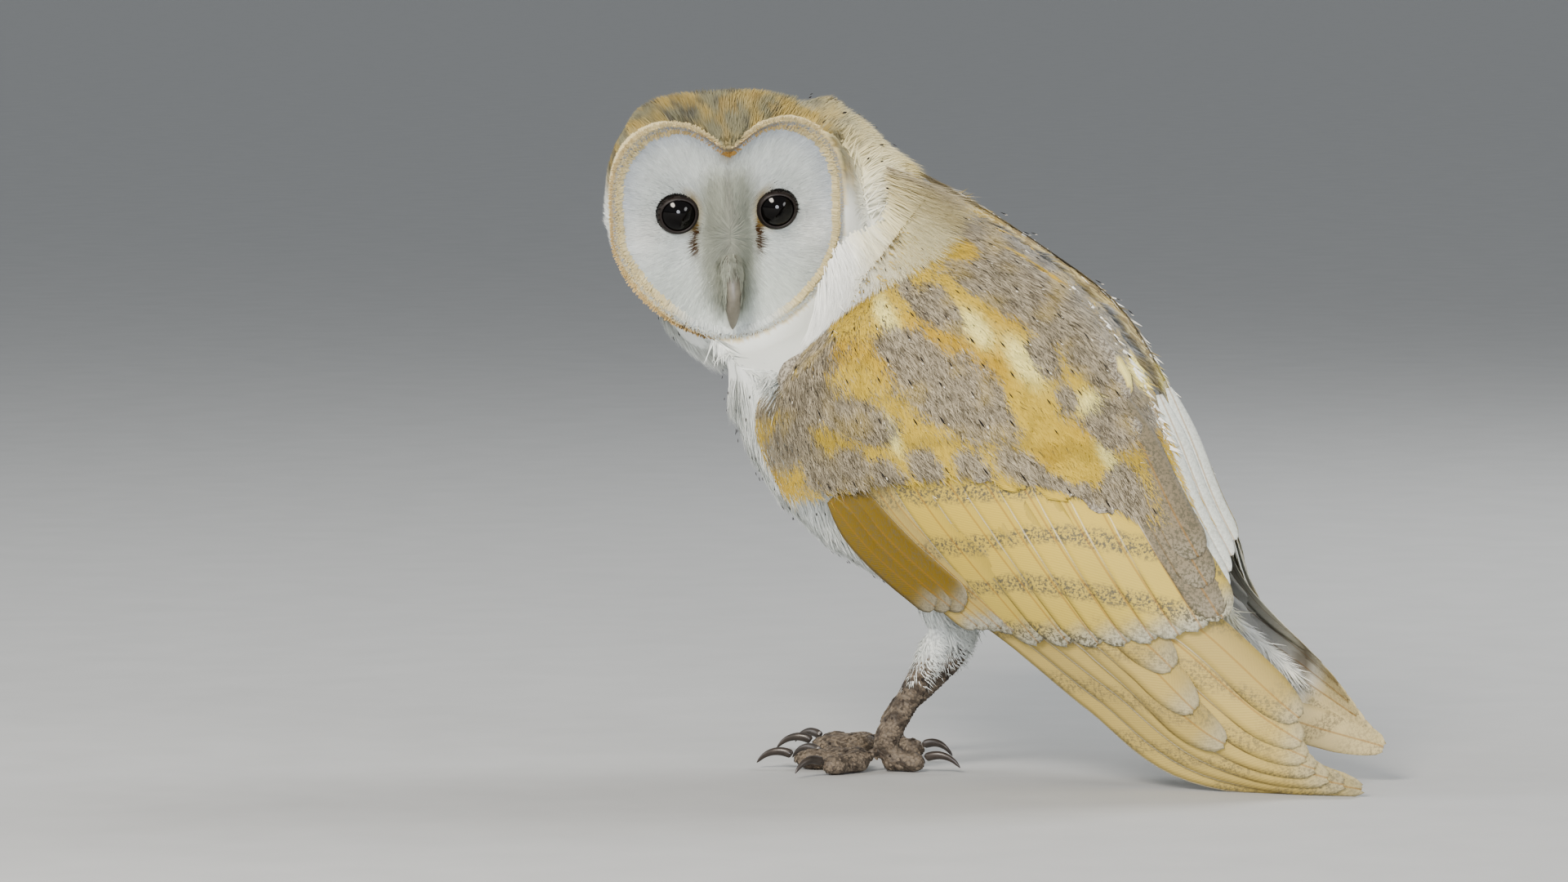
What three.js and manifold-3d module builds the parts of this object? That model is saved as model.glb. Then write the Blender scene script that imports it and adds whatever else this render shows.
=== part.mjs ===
// A life-size barn owl standing on the floor: body sloping down towards the tail, head turned
// over its left shoulder, folded wings reaching back over the tail. Millimetres, +Z up.
// While it is modelled the owl faces -Y with its left side towards +X, and the floor is z = 0.
// Each named part is a solid of its own, cut free of its neighbours by a thin gap.
import * as THREE from "three";
import { LoftGeometry } from "three/addons/geometries/LoftGeometry.js";
import { mergeVertices } from "three/addons/utils/BufferGeometryUtils.js";
import Module from "manifold-3d";

const wasm = await Module();
wasm.setup();

// ---- driving dimensions ----
const gap = 0.3; // clearance between touching parts
const floorLevel = 0;
const head = {
  centre: [7.2, -59.4, 199.5],
  turn: 36, // degrees from +X towards +Y that the face looks
  nod: 12, // degrees that the face looks down
  roll: 2.5, // degrees that the crown leans to the owl's right
  discRadius: 43,
  discCorner: 7, // extra reach of the two upper corners of the disc
  discNotch: 11, // depth of the notch between them
  chinDrop: -1.8,
  cheek: 1.5, // how much flatter the disc is beside the chin
  rimAt: 25, // how far the rim of the disc stands in front of the centre
  sweep: 7, // how far the rim swings back at the sides
  dish: 7, // depth of the hollow face
  ridge: 8, // height of the feathered ridge that runs down to the bill
  backDepth: 40,
  backRadius: 47,
  crownRise: 10, // how far the crown stands above the middle of the disc
};
const eye = { radius: 9.5, apart: 36.5, height: 6.3, depth: 11.5 };
const leg = { spread: 23, stepForward: 20 };

const point = (x, y, z) => new THREE.Vector3(x, y, z);
const { clamp, degToRad: radians, lerp, smoothstep } = THREE.MathUtils;

// ---- solids ----

// A three.js geometry as a manifold-3d solid, with its faces turned outwards.
function solid(geometry) {
  const bare = new THREE.BufferGeometry();
  bare.setAttribute("position", geometry.attributes.position);
  bare.setIndex(geometry.index);
  const merged = mergeVertices(bare, 1e-4);
  const corners = new Uint32Array(merged.index.array);
  const build = () =>
    new wasm.Manifold(
      new wasm.Mesh({
        numProp: 3,
        vertProperties: merged.attributes.position.array,
        triVerts: corners,
      }),
    );
  const first = build();
  if (first.volume() > 0) return first;
  corners.reverse();
  return build();
}

// The largest of the bodies that a cut leaves.
function cut(shape, ...others) {
  const left = others.reduce((rest, other) => rest.subtract(other), shape);
  return left.decompose().sort((a, b) => b.volume() - a.volume())[0];
}

// Everything under a level, which leaves a flat to stand on when it is cut away.
function below(level) {
  const slab = new THREE.BoxGeometry(800, 800, 100);
  slab.translate(0, 0, level - 50);
  return solid(slab);
}

function geometryOf(shape) {
  const { numProp, vertProperties, triVerts } = shape.getMesh();
  const positions = new Float32Array((vertProperties.length / numProp) * 3);
  for (let i = 0; i < positions.length / 3; i++) {
    positions.set(vertProperties.subarray(i * numProp, i * numProp + 3), i * 3);
  }
  const geometry = new THREE.BufferGeometry();
  geometry.setAttribute("position", new THREE.BufferAttribute(positions, 3));
  geometry.setIndex(new THREE.BufferAttribute(triVerts, 1));
  geometry.computeVertexNormals();
  return geometry;
}

// A smooth line through points, and a smooth run through evenly spaced numbers.
function path(points) {
  return new THREE.CatmullRomCurve3(points.map((p) => point(...p)), false, "catmullrom");
}

function run(values) {
  const curve = path(values.map((value) => [value, 0, 0]));
  return (t) => curve.getPoint(clamp(t, 0, 1)).x;
}

function ring(centre, across, over, around) {
  return Array.from({ length: around }, (_, j) => {
    const angle = (2 * Math.PI * j) / around;
    return centre
      .clone()
      .addScaledVector(across, Math.cos(angle))
      .addScaledVector(over, Math.sin(angle));
  });
}

// A domed loft. `frame(t)` gives the centre, the unit across and over directions and their
// half sizes; the ends close as domes over the share `blunt` of the length.
function loft(frame, { around, rings, blunt, grow = 0 }) {
  const sections = [];
  for (let i = 0; i <= rings; i++) {
    const t = (1 - Math.cos((Math.PI * i) / rings)) / 2;
    const nearEnd = Math.min(t, 1 - t, blunt) / blunt;
    const dome = Math.max(0.12, Math.sqrt(1 - (1 - nearEnd) ** 2));
    const { centre, across, over, wide, deep } = frame(t);
    const along = new THREE.Vector3().crossVectors(across, over);
    const shift = (1 - nearEnd) * (t < 0.5 ? -grow : grow);
    centre.addScaledVector(along, shift);
    across.multiplyScalar(wide * dome + grow);
    over.multiplyScalar(deep * dome + grow);
    sections.push(ring(centre, across, over, around));
  }
  return solid(new LoftGeometry(sections, { capStart: true, capEnd: true }));
}

// A rounded limb along a smooth line: each station has a centre, a half width and half depth.
function limb(stations, { around = 10, rings = 8, side = [1, 0, 0], blunt = 0.2, grow } = {}) {
  const spine = path(stations.map((s) => s.at));
  const wide = run(stations.map((s) => s.wide));
  const deep = run(stations.map((s) => s.deep));
  const frame = (t) => {
    const along = spine.getTangent(t);
    const across = point(...side);
    across.addScaledVector(along, -along.dot(across)).normalize();
    const over = new THREE.Vector3().crossVectors(along, across);
    return { centre: spine.getPoint(t), across, over, wide: wide(t), deep: deep(t) };
  };
  return loft(frame, { around, rings, blunt, grow });
}

// A barrel of the body: each station has the level of its belly and of its back as [y, z],
// and a half width. `x` moves its middle off the owl's own middle plane.
function barrel(stations, options) {
  const belly = path(stations.map((s) => [s.x ?? 0, ...s.belly]));
  const back = path(stations.map((s) => [s.x ?? 0, ...s.back]));
  const width = run(stations.map((s) => s.wide));
  const frame = (t) => {
    const low = belly.getPoint(t);
    const high = back.getPoint(t);
    const over = high.clone().sub(low);
    const deep = over.length() / 2;
    const centre = low.add(high).divideScalar(2);
    return { centre, across: point(-1, 0, 0), over: over.normalize(), wide: width(t), deep };
  };
  return loft(frame, options);
}

// A closed plate between an outer and an inner sheet, each given by a function of u and v.
function plate(outer, inner, uSteps, vSteps) {
  const positions = [];
  const faces = [];
  const row = vSteps + 1;
  const inside = (uSteps + 1) * row;
  for (const sheet of [outer, inner]) {
    for (let i = 0; i <= uSteps; i++) {
      for (let j = 0; j <= vSteps; j++) positions.push(...sheet(i / uSteps, j / vSteps).toArray());
    }
  }
  const quad = (a, b, c, d) => faces.push(a, b, c, a, c, d);
  for (let i = 0; i < uSteps; i++) {
    for (let j = 0; j < vSteps; j++) {
      const a = i * row + j;
      quad(a, a + row, a + row + 1, a + 1);
      quad(inside + a, inside + a + 1, inside + a + row + 1, inside + a + row);
    }
    const first = i * row;
    const last = first + vSteps;
    quad(first, inside + first, inside + first + row, first + row);
    quad(last, last + row, inside + last + row, inside + last);
  }
  for (let j = 0; j < vSteps; j++) {
    const far = uSteps * row + j;
    quad(j, j + 1, inside + j + 1, inside + j);
    quad(far, inside + far, inside + far + 1, far + 1);
  }
  const geometry = new THREE.BufferGeometry();
  geometry.setAttribute("position", new THREE.Float32BufferAttribute(positions, 3));
  geometry.setIndex(faces);
  return solid(geometry);
}

// ---- head, in its own axes: x towards the owl's left eye, y up, z out of the face ----

const headAxes = (() => {
  const turn = radians(head.turn);
  const nod = radians(head.nod);
  const out = point(Math.cos(turn) * Math.cos(nod), Math.sin(turn) * Math.cos(nod), -Math.sin(nod));
  const left = point(-Math.sin(turn), Math.cos(turn), 0).applyAxisAngle(out, radians(head.roll));
  const up = new THREE.Vector3().crossVectors(out, left);
  return new THREE.Matrix4().makeBasis(left, up, out).setPosition(...head.centre);
})();
const onHead = (x, y, z) => point(x, y, z).applyMatrix4(headAxes).toArray();
const headLeft = new THREE.Vector3().setFromMatrixColumn(headAxes, 0).toArray();

// Reach of the heart-shaped facial disc in the direction `angle`.
function discReach(angle) {
  const slant = Math.sin(2 * angle) ** 2;
  if (Math.sin(angle) < 0) {
    return head.discRadius + head.chinDrop * Math.sin(angle) ** 2 - head.cheek * slant;
  }
  const notch = Math.exp(-(((angle - Math.PI / 2) / 0.3) ** 2));
  return head.discRadius + head.discCorner * slant - head.discNotch * notch;
}

const sweptBack = (x) => head.sweep * (x / head.discRadius) ** 2;

function facePoint(angle, share) {
  const reach = discReach(angle) * share;
  const x = reach * Math.cos(angle);
  const y = reach * Math.sin(angle);
  const hollow = head.dish * (1 - share ** 4);
  const fade = smoothstep(-y, -24, 0) * (1 - smoothstep(-y, 20, 38));
  const ridge = head.ridge * Math.exp(-((x / 6.5) ** 2)) * fade;
  return point(x, y, head.rimAt - sweptBack(x) - hollow + ridge);
}

function backPoint(angle, swing, grow) {
  const share = Math.cos(swing);
  const reach = lerp(head.backRadius, discReach(angle) + 2, share ** 6) + grow;
  const x = reach * share * Math.cos(angle);
  const y = reach * share * Math.sin(angle) + head.crownRise * smoothstep(swing, 0, 0.7);
  const depth = head.backDepth + head.rimAt - 5 + grow;
  return point(x, y, head.rimAt - 5 - sweptBack(x) * share ** 4 - depth * Math.sin(swing));
}

function headSolid(grow = 0) {
  const around = 30;
  const swings = [84, 62, 42, 24, 8, 0].map(radians);
  const shares = [1.01, 0.94, 0.84, 0.66, 0.46, 0.26, 0.08];
  const rim = (make) => Array.from({ length: around }, (_, j) => make((2 * Math.PI * j) / around));
  const sections = [
    ...swings.map((swing) => rim((angle) => backPoint(angle, swing, grow))),
    ...shares.map((share) => rim((angle) => facePoint(angle, share).add(point(0, 0, grow)))),
  ];
  const geometry = new LoftGeometry(sections, { capStart: true, capEnd: true });
  return solid(geometry.applyMatrix4(headAxes));
}

// The space in front of the face, which the collar keeps clear of.
function faceView() {
  const outline = (z) =>
    Array.from({ length: 24 }, (_, j) => {
      const angle = (2 * Math.PI * j) / 24;
      const reach = discReach(angle) + 1;
      return point(reach * Math.cos(angle), reach * Math.sin(angle), z);
    });
  const geometry = new LoftGeometry([outline(8), outline(90)], { capStart: true, capEnd: true });
  return solid(geometry.applyMatrix4(headAxes));
}

// The front of an eyeball, closed by a flat behind.
function eyeSolid(side, grow = 0) {
  const steps = 5;
  const profile = [new THREE.Vector2(0, -2 - grow), new THREE.Vector2(eye.radius * 0.7 + grow, -2 - grow)];
  for (let i = 0; i <= steps; i++) {
    const angle = (Math.PI / 2) * (i / steps);
    const reach = eye.radius + grow;
    profile.push(new THREE.Vector2(i < steps ? reach * Math.cos(angle) : 0, reach * Math.sin(angle)));
  }
  const ball = new THREE.LatheGeometry(profile, 14);
  ball.rotateX(Math.PI / 2);
  ball.translate((side * eye.apart) / 2, eye.height, eye.depth);
  return solid(ball.applyMatrix4(headAxes));
}

const bill = {
  upper: [
    { at: onHead(0, -8, 20), wide: 4.6, deep: 4.5 },
    { at: onHead(0, -17, 26.5), wide: 4.6, deep: 4.3 },
    { at: onHead(0, -27, 29), wide: 3.2, deep: 3.6 },
    { at: onHead(0, -36, 26.5), wide: 0.9, deep: 1.1 },
  ],
  lower: [
    { at: onHead(0, -17, 18), wide: 3.6, deep: 2.4 },
    { at: onHead(0, -25, 21.5), wide: 2.8, deep: 2.2 },
    { at: onHead(0, -31.5, 23.5), wide: 1.2, deep: 1.2 },
  ],
};
const billSolid = (stations, grow) =>
  limb(stations, { around: 10, rings: 8, side: headLeft, blunt: 0.12, grow });

// ---- neck, trunk and tail ----

const neckStations = [
  { x: -6, belly: [-101, 176], back: [-52, 245], wide: 30 },
  { x: -10, belly: [-91, 156], back: [-24, 246], wide: 37 },
  { x: -5, belly: [-72, 144], back: [6, 226], wide: 42 },
  { x: 0, belly: [-52, 138], back: [32, 210], wide: 44 },
];

const trunkStations = [
  { belly: [-74, 149], back: [-8, 222], wide: 36 },
  { belly: [-59, 130], back: [24, 209], wide: 43 },
  { belly: [-48, 106], back: [56, 187], wide: 47 },
  { belly: [-31, 87], back: [86, 164], wide: 49 },
  { belly: [-7, 71], back: [102, 134], wide: 47 },
  { belly: [20, 61], back: [112, 108], wide: 42 },
  { belly: [50, 57], back: [121, 84], wide: 33 },
  { belly: [84, 47], back: [128, 63], wide: 22 },
];

// The scapular feathers that close the back between the wings.
const mantleStations = [
  { belly: [14, 186], back: [20, 212], wide: 13 },
  { belly: [52, 170], back: [61, 192], wide: 13 },
  { belly: [82, 146], back: [94, 169], wide: 14 },
  { belly: [96, 120], back: [112, 146], wide: 18 },
  { belly: [104, 98], back: [120, 120], wide: 16 },
];

const tailStations = [
  { belly: [96, 52], back: [108, 66], wide: 15 },
  { belly: [122, 34], back: [130, 44], wide: 18 },
  { belly: [146, 14.5], back: [151, 20.5], wide: 20 },
  { belly: [166, 1], back: [168, 6], wide: 21 },
  { belly: [184, -1.5], back: [184, 2.5], wide: 20 },
];

// ---- wings ----

// A folded wing from the wrist to the tip: its leading edge low on the flank, its upper edge
// along the back, how far it bulges outwards between them, and its thickness.
const wings = {
  left: {
    sign: 1,
    leading: [
      [40, -8, 156], [43, -21, 134], [45, -8, 106], [46, 14, 83], [43, 44, 63],
      [42, 69, 50], [37, 98, 28], [31, 133, 6], [23, 198, 2.5],
    ],
    upper: [
      [8, 24, 212], [5, 62, 192], [8, 93, 171], [12, 112, 149], [17, 127, 126],
      [23, 142, 100], [26, 160, 72], [25, 180, 35], [23, 200, 7],
    ],
    bulge: [20, 28, 31, 31, 27, 21, 12, 5, 0.6],
    thick: [10, 13, 14, 13, 11, 8, 5, 3, 1.4],
  },
  right: {
    sign: -1,
    leading: [
      [40, -8, 156], [43, -21, 134], [45, -8, 106], [46, 14, 83], [43, 44, 65],
      [41, 68, 55], [36, 100, 42], [29, 148, 26], [22, 190, 15],
    ],
    upper: [
      [8, 24, 212], [7, 62, 192], [12, 92, 170], [20, 107, 143], [24, 118, 116],
      [26, 130, 90], [25, 140, 65], [22, 164, 44], [21, 192, 20],
    ],
    bulge: [20, 28, 31, 31, 27, 21, 12, 5, 0.6],
    thick: [10, 13, 14, 13, 11, 8, 5, 3, 1.4],
  },
};
const tip = 8; // section number of the wing tip

function wingSurface({ sign, leading, upper, bulge, thick }) {
  const low = path(leading);
  const high = path(upper);
  const out = run(bulge);
  const depth = run(thick);
  return {
    thick: (s) => depth(s / tip),
    // The point at section s and share t from the leading edge to the upper, `lift` above it.
    at(s, t, lift) {
      const share = s / tip;
      const from = low.getPoint(share);
      const chord = high.getPoint(share).sub(from);
      const along = low.getTangent(share).add(high.getTangent(share)).normalize();
      const outward = new THREE.Vector3().crossVectors(chord, along).normalize();
      if (outward.x < 0) outward.negate();
      const slope = (out(share) * 4 * (1 - 2 * t)) / chord.length();
      const normal = outward.clone().addScaledVector(chord.clone().normalize(), -slope).normalize();
      const height = out(share) * (1 - (2 * t - 1) ** 2);
      const place = from.addScaledVector(chord, t).addScaledVector(outward, height);
      place.addScaledVector(normal, lift);
      place.x *= sign;
      return place;
    },
  };
}

// A layer of the wing between two section numbers that vary across it.
function wingLayer(wing, { from, to, lift, thick }, grow = 0) {
  const section = (u, v) => lerp(from(v), to(v), u);
  const outer = (u, v) => wing.at(section(u, v), v, lift + grow);
  const inner = (u, v) => {
    const s = section(u, v);
    return wing.at(s, v, -Math.min(thick, wing.thick(s)) - grow);
  };
  return plate(outer, inner, 8, 7);
}

const covertEnd = (t) => 2.1 + 2.2 * Math.sin((Math.PI / 2) * Math.min(1, t * 1.2));
const secondaryEnd = (t) => 4.1 + 2.4 * t ** 0.55;
const wingLayers = {
  coverts: { from: () => 0, to: covertEnd, lift: 3, thick: 14 },
  secondaries: { from: (t) => covertEnd(t) - 0.5, to: secondaryEnd, lift: 1.6, thick: 8 },
  primaries: { from: (t) => secondaryEnd(t) - 1, to: () => tip, lift: 0.3, thick: 3 },
};

// ---- legs ----

// Heading in degrees from straight ahead towards the owl's outside, and length to the claw.
const toes = {
  inner: { heading: -14, length: 27 },
  middle: { heading: 16, length: 31 },
  outer: { heading: 70, length: 27 },
  hind: { heading: 190, length: 19 },
};

function legStations(side) {
  const ahead = side > 0 ? 0 : -leg.stepForward;
  const x = side * leg.spread;
  const foot = [x, 12 + ahead];
  const ankle = { y: 38 + ahead / 2, z: 52 };
  return {
    foot,
    thigh: [
      { at: [x - 3 * side, 30, 88], wide: 17, deep: 20 },
      { at: [x - 2 * side, 36 + ahead * 0.3, 70], wide: 13, deep: 15 },
      { at: [x - side, ankle.y, ankle.z], wide: 8, deep: 8.5 },
    ],
    tarsus: [
      { at: [x - side, ankle.y + 1, ankle.z + 4], wide: 6, deep: 6.4 },
      { at: [x - side, ankle.y - 8, ankle.z - 16], wide: 5, deep: 5.4 },
      { at: [x, foot[1] + 9, 20], wide: 4.8, deep: 5.2 },
      { at: [x, foot[1] + 1, 6.5], wide: 6.6, deep: 6.2 },
    ],
  };
}

function toeStations(foot, side, { heading, length }) {
  const turn = radians(heading);
  const ahead = [side * Math.sin(turn), -Math.cos(turn)];
  const at = (reach, height) => [foot[0] + ahead[0] * reach, foot[1] + ahead[1] * reach, height];
  return {
    across: [-ahead[1], ahead[0], 0],
    pads: [
      { at: at(4, 5.5), wide: 4.4, deep: 4.4 },
      { at: at(length * 0.3, 4.2), wide: 4.1, deep: 4.8 },
      { at: at(length * 0.54, 3.7), wide: 3.5, deep: 3.8 },
      { at: at(length * 0.78, 3.6), wide: 3.9, deep: 4.4 },
      { at: at(length, 4.3), wide: 2.8, deep: 3 },
    ],
    claw: [
      { at: at(length - 1, 5.2), wide: 2.2, deep: 2.8 },
      { at: at(length + 5, 6.8), wide: 1.7, deep: 2.1 },
      { at: at(length + 10, 5.2), wide: 1.1, deep: 1.4 },
      { at: at(length + 13, 1.9), wide: 0.6, deep: 0.7 },
    ],
  };
}

// ---- assembly ----

const looks = {
  face: { color: 0xd8dbcc, roughness: 0.9 },
  nape: { color: 0xc9b47c, roughness: 0.9 },
  breast: { color: 0xe6ebe6, roughness: 0.9 },
  gold: { color: 0xc59a45, roughness: 0.85 },
  flight: { color: 0xc7a35a, roughness: 0.8 },
  leg: { color: 0x8d7f70, roughness: 0.8 },
  claw: { color: 0x2b2723, roughness: 0.4 },
  bill: { color: 0xb9b3a2, roughness: 0.5 },
  eye: { color: 0x0b0807, roughness: 0.08 },
};

const owl = new THREE.Group();

function add(name, shape, look) {
  const material = new THREE.MeshStandardMaterial({ metalness: 0, ...looks[look] });
  const mesh = new THREE.Mesh(geometryOf(shape), material);
  mesh.name = name;
  owl.add(mesh);
}

const bigHead = headSolid(gap);
const bigEyes = [eyeSolid(1, gap), eyeSolid(-1, gap)];
const bigBills = [billSolid(bill.upper, gap), billSolid(bill.lower, gap)];

add("head", cut(headSolid(), ...bigEyes, ...bigBills), "face");
add("eye_left", eyeSolid(1), "eye");
add("eye_right", eyeSolid(-1), "eye");
add("bill_upper", billSolid(bill.upper), "bill");
add("bill_lower", cut(billSolid(bill.lower), bigBills[0]), "bill");

const neckForm = { around: 16, rings: 8, blunt: 0.25 };
const trunkForm = { around: 20, rings: 12, blunt: 0.16 };
const mantleForm = { around: 14, rings: 8, blunt: 0.12 };
const tailForm = { around: 10, rings: 7, blunt: 0.1 };
const bigNeck = barrel(neckStations, { ...neckForm, grow: gap });
const bigTrunk = barrel(trunkStations, { ...trunkForm, grow: gap });
const bigMantle = barrel(mantleStations, { ...mantleForm, grow: gap });
const bigTail = barrel(tailStations, { ...tailForm, grow: gap });

add("neck", cut(barrel(neckStations, neckForm), bigHead, faceView(), ...bigBills), "nape");
add("trunk", cut(barrel(trunkStations, trunkForm), bigHead, bigNeck, faceView()), "breast");
add("mantle", cut(barrel(mantleStations, mantleForm), bigNeck, bigTrunk), "gold");
add("tail", cut(barrel(tailStations, tailForm), bigTrunk, below(floorLevel)), "flight");

for (const [name, spec] of Object.entries(wings)) {
  const wing = wingSurface(spec);
  const inTheWay = [bigHead, bigNeck, bigTrunk, bigMantle, bigTail];
  for (const [layer, cover] of Object.entries(wingLayers)) {
    const shape = cut(wingLayer(wing, cover), ...inTheWay, below(floorLevel + 0.6));
    add(`${layer}_${name}`, shape, layer === "coverts" ? "gold" : "flight");
    inTheWay.push(wingLayer(wing, cover, gap));
  }
  const { foot, thigh, tarsus } = legStations(spec.sign);
  const bigThigh = limb(thigh, { around: 14, grow: gap });
  const bigTarsus = limb(tarsus, { grow: gap });
  add(`thigh_${name}`, cut(limb(thigh, { around: 14 }), ...inTheWay), "breast");
  add(`tarsus_${name}`, cut(limb(tarsus), bigThigh, bigTrunk), "leg");
  const placed = [bigTarsus];
  for (const [toe, size] of Object.entries(toes)) {
    const { pads, claw, across } = toeStations(foot, spec.sign, size);
    const padForm = { around: 8, rings: 6, side: across };
    const clawForm = { around: 5, rings: 5, side: across };
    const bigPads = limb(pads, { ...padForm, grow: gap });
    add(`toe_${toe}_${name}`, cut(limb(pads, padForm), ...placed, below(floorLevel)), "leg");
    add(`claw_${toe}_${name}`, cut(limb(claw, clawForm), bigPads), "claw");
    placed.push(bigPads);
  }
}

// The origin is under the middle of the owl, on the floor.
const extent = new THREE.Box3().setFromObject(owl);
const middle = extent.getCenter(point(0, 0, 0));
owl.position.set(-middle.x, -middle.y, -extent.min.z);

export default owl;
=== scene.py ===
import math

import bmesh
import bpy
import numpy as np
from mathutils import Matrix, Vector, noise
from mathutils.bvhtree import BVHTree
from mathutils.kdtree import KDTree


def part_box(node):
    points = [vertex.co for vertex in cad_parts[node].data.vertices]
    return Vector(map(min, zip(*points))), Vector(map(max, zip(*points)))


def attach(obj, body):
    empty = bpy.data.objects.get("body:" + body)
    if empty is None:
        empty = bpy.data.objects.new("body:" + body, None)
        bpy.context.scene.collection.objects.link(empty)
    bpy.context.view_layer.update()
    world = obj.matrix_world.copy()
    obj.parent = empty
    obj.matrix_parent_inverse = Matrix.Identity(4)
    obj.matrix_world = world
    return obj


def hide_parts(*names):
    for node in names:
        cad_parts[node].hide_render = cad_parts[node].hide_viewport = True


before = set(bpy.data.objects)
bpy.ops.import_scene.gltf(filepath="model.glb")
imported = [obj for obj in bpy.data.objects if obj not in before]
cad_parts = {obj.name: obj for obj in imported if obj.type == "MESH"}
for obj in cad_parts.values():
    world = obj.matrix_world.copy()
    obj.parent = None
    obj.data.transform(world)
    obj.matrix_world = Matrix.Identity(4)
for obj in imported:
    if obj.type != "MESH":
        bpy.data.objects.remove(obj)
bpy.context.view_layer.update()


def linear(code):
    parts = np.array([int(code[i:i + 2], 16) for i in (0, 2, 4)]) / 255
    return np.where(parts <= 0.04045, parts / 12.92, ((parts + 0.055) / 1.055) ** 2.4)


def unit(v):
    return v / np.maximum(np.linalg.norm(v, axis=-1, keepdims=True), 1e-9)


def smooth(x, low, high):
    t = np.clip((np.asarray(x, float) - low) / (high - low), 0, 1)
    return t * t * (3 - 2 * t)


def stripe(x, centre, half):  # a soft stripe
    return np.exp(-(((np.asarray(x, float) - centre) / half) ** 2))


def blend(a, b, share):
    share = np.asarray(share, float)[..., None]
    return a * (1 - share) + b * share


def grain(points, size, seed=0.0):  # soft noise, about -1 to 1; size in mm, one or three
    p = np.asarray(points, float) / np.asarray(size, float) + seed
    return np.array([noise.noise(q) for q in p.reshape(-1, 3)]).reshape(p.shape[:-1])


def curve(points, u):  # smooth line through evenly spaced points
    p = np.array(points, float)
    if p.ndim == 1:
        p = p[:, None]
    p = np.vstack([2 * p[0] - p[1], p, 2 * p[-1] - p[-2]])
    x = np.asarray(u, float)
    i = np.clip(np.floor(x), 0, len(p) - 4).astype(int)
    w = (x - i)[..., None]
    a, b, c, d = p[i], p[i + 1], p[i + 2], p[i + 3]
    return 0.5 * (2 * b + (c - a) * w + (2 * a - 5 * b + 4 * c - d) * w ** 2
                  + (3 * b - a - 3 * c + d) * w ** 3)


shot = dict(azimuth=117, elevation=4, distance=3.0, lens=187.5, aim=(0.0018, -0.0875, 0.117))


def placeCamera():
    a, e = math.radians(shot["azimuth"]), math.radians(shot["elevation"])
    back = Vector((math.sin(a) * math.cos(e), -math.cos(a) * math.cos(e), math.sin(e)))
    data = bpy.data.cameras.new("camera")
    data.lens = shot["lens"]
    data.clip_end = 200
    camera = bpy.data.objects.new("camera", data)
    camera.location = Vector(shot["aim"]) + back * shot["distance"]
    camera.rotation_mode = "QUATERNION"
    camera.rotation_quaternion = (-back).to_track_quat("-Z", "Y")
    bpy.context.scene.collection.objects.link(camera)
    bpy.context.scene.camera = camera


studio = dict(floorSize=80, skyColour="D3D6DA", sky=0.62, look="AgX - Medium High Contrast")
lamps = {  # place and aim in metres, power in watts
    "keyLight": dict(place=(1.75, 0.1, 1.25), size=0.7, power=38, colour="FFF6EA"),
    "fillLight": dict(place=(2.0, 1.3, 0.3), size=0.9, power=34, colour="F4F6FF"),
    "breastLight": dict(place=(0.9, -1.5, 0.7), size=1.2, power=12, colour="FFFFFF"),
    "rimLight": dict(place=(-1.4, 0.5, 1.3), size=0.9, power=20, colour="FFFFFF"),
    "tailLight": dict(place=(0.45, 2.3, 0.75), size=0.7, power=10, colour="FFFFFF"),
}


def add(tree, kind, inputs=None, out=0, **settings):  # one shader node, its settings and links
    node = tree.nodes.new("ShaderNode" + kind)
    for key, value in settings.items():
        setattr(node, key, value)
    for slot, value in (inputs or {}).items():
        if isinstance(value, bpy.types.NodeSocket):
            tree.links.new(value, node.inputs[slot])
        else:
            node.inputs[slot].default_value = value
    return node.outputs[out]


def rgba(code):
    return (*linear(code), 1)


def newMaterial(name, inputs):  # a principled surface whose constants sit on its own sockets
    material = bpy.data.materials.new(name)
    material.use_nodes = True
    tree = material.node_tree
    shader = tree.nodes["Principled BSDF"]
    for slot, value in inputs.items():
        shader.inputs[slot].default_value = value
    return material, tree, shader


def calc(tree, operation, *values):
    return add(tree, "Math", dict(enumerate(values)), operation=operation)


def ramp(tree, value, low, high, start=0.0, end=1.0, kind="SMOOTHSTEP"):
    return add(tree, "MapRange", {0: value, 1: low, 2: high, 3: start, 4: end},
               interpolation_type=kind)


def mixed(tree, share, one, two, kind="MIX"):
    return add(tree, "Mix", {0: share, 6: one, 7: two}, out=2, data_type="RGBA", blend_type=kind)


def clouds(tree, where, scale, detail=2.0, roughness=0.5):
    return add(tree, "TexNoise", {"Vector": where, "Scale": scale, "Detail": detail,
                                  "Roughness": roughness})


def surface(tree, shader, tone, height=None, strength=0.5, depth=0.0002, invert=False):
    tree.links.new(tone, shader.inputs["Base Color"])
    if height is not None:
        bump = add(tree, "Bump", {"Strength": strength, "Distance": depth, "Height": height},
                   invert=invert)
        tree.links.new(bump, shader.inputs["Normal"])


def cloudedMaterial(name, inputs, scale, detail, dark, light, bump=0.0):  # two close tones
    material, tree, shader = newMaterial(name, inputs)
    cloud = clouds(tree, add(tree, "TexCoord", out=3), scale, detail)
    tone = mixed(tree, cloud, rgba(dark), rgba(light))
    surface(tree, shader, tone, cloud if bump else None, bump)
    return material


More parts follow.
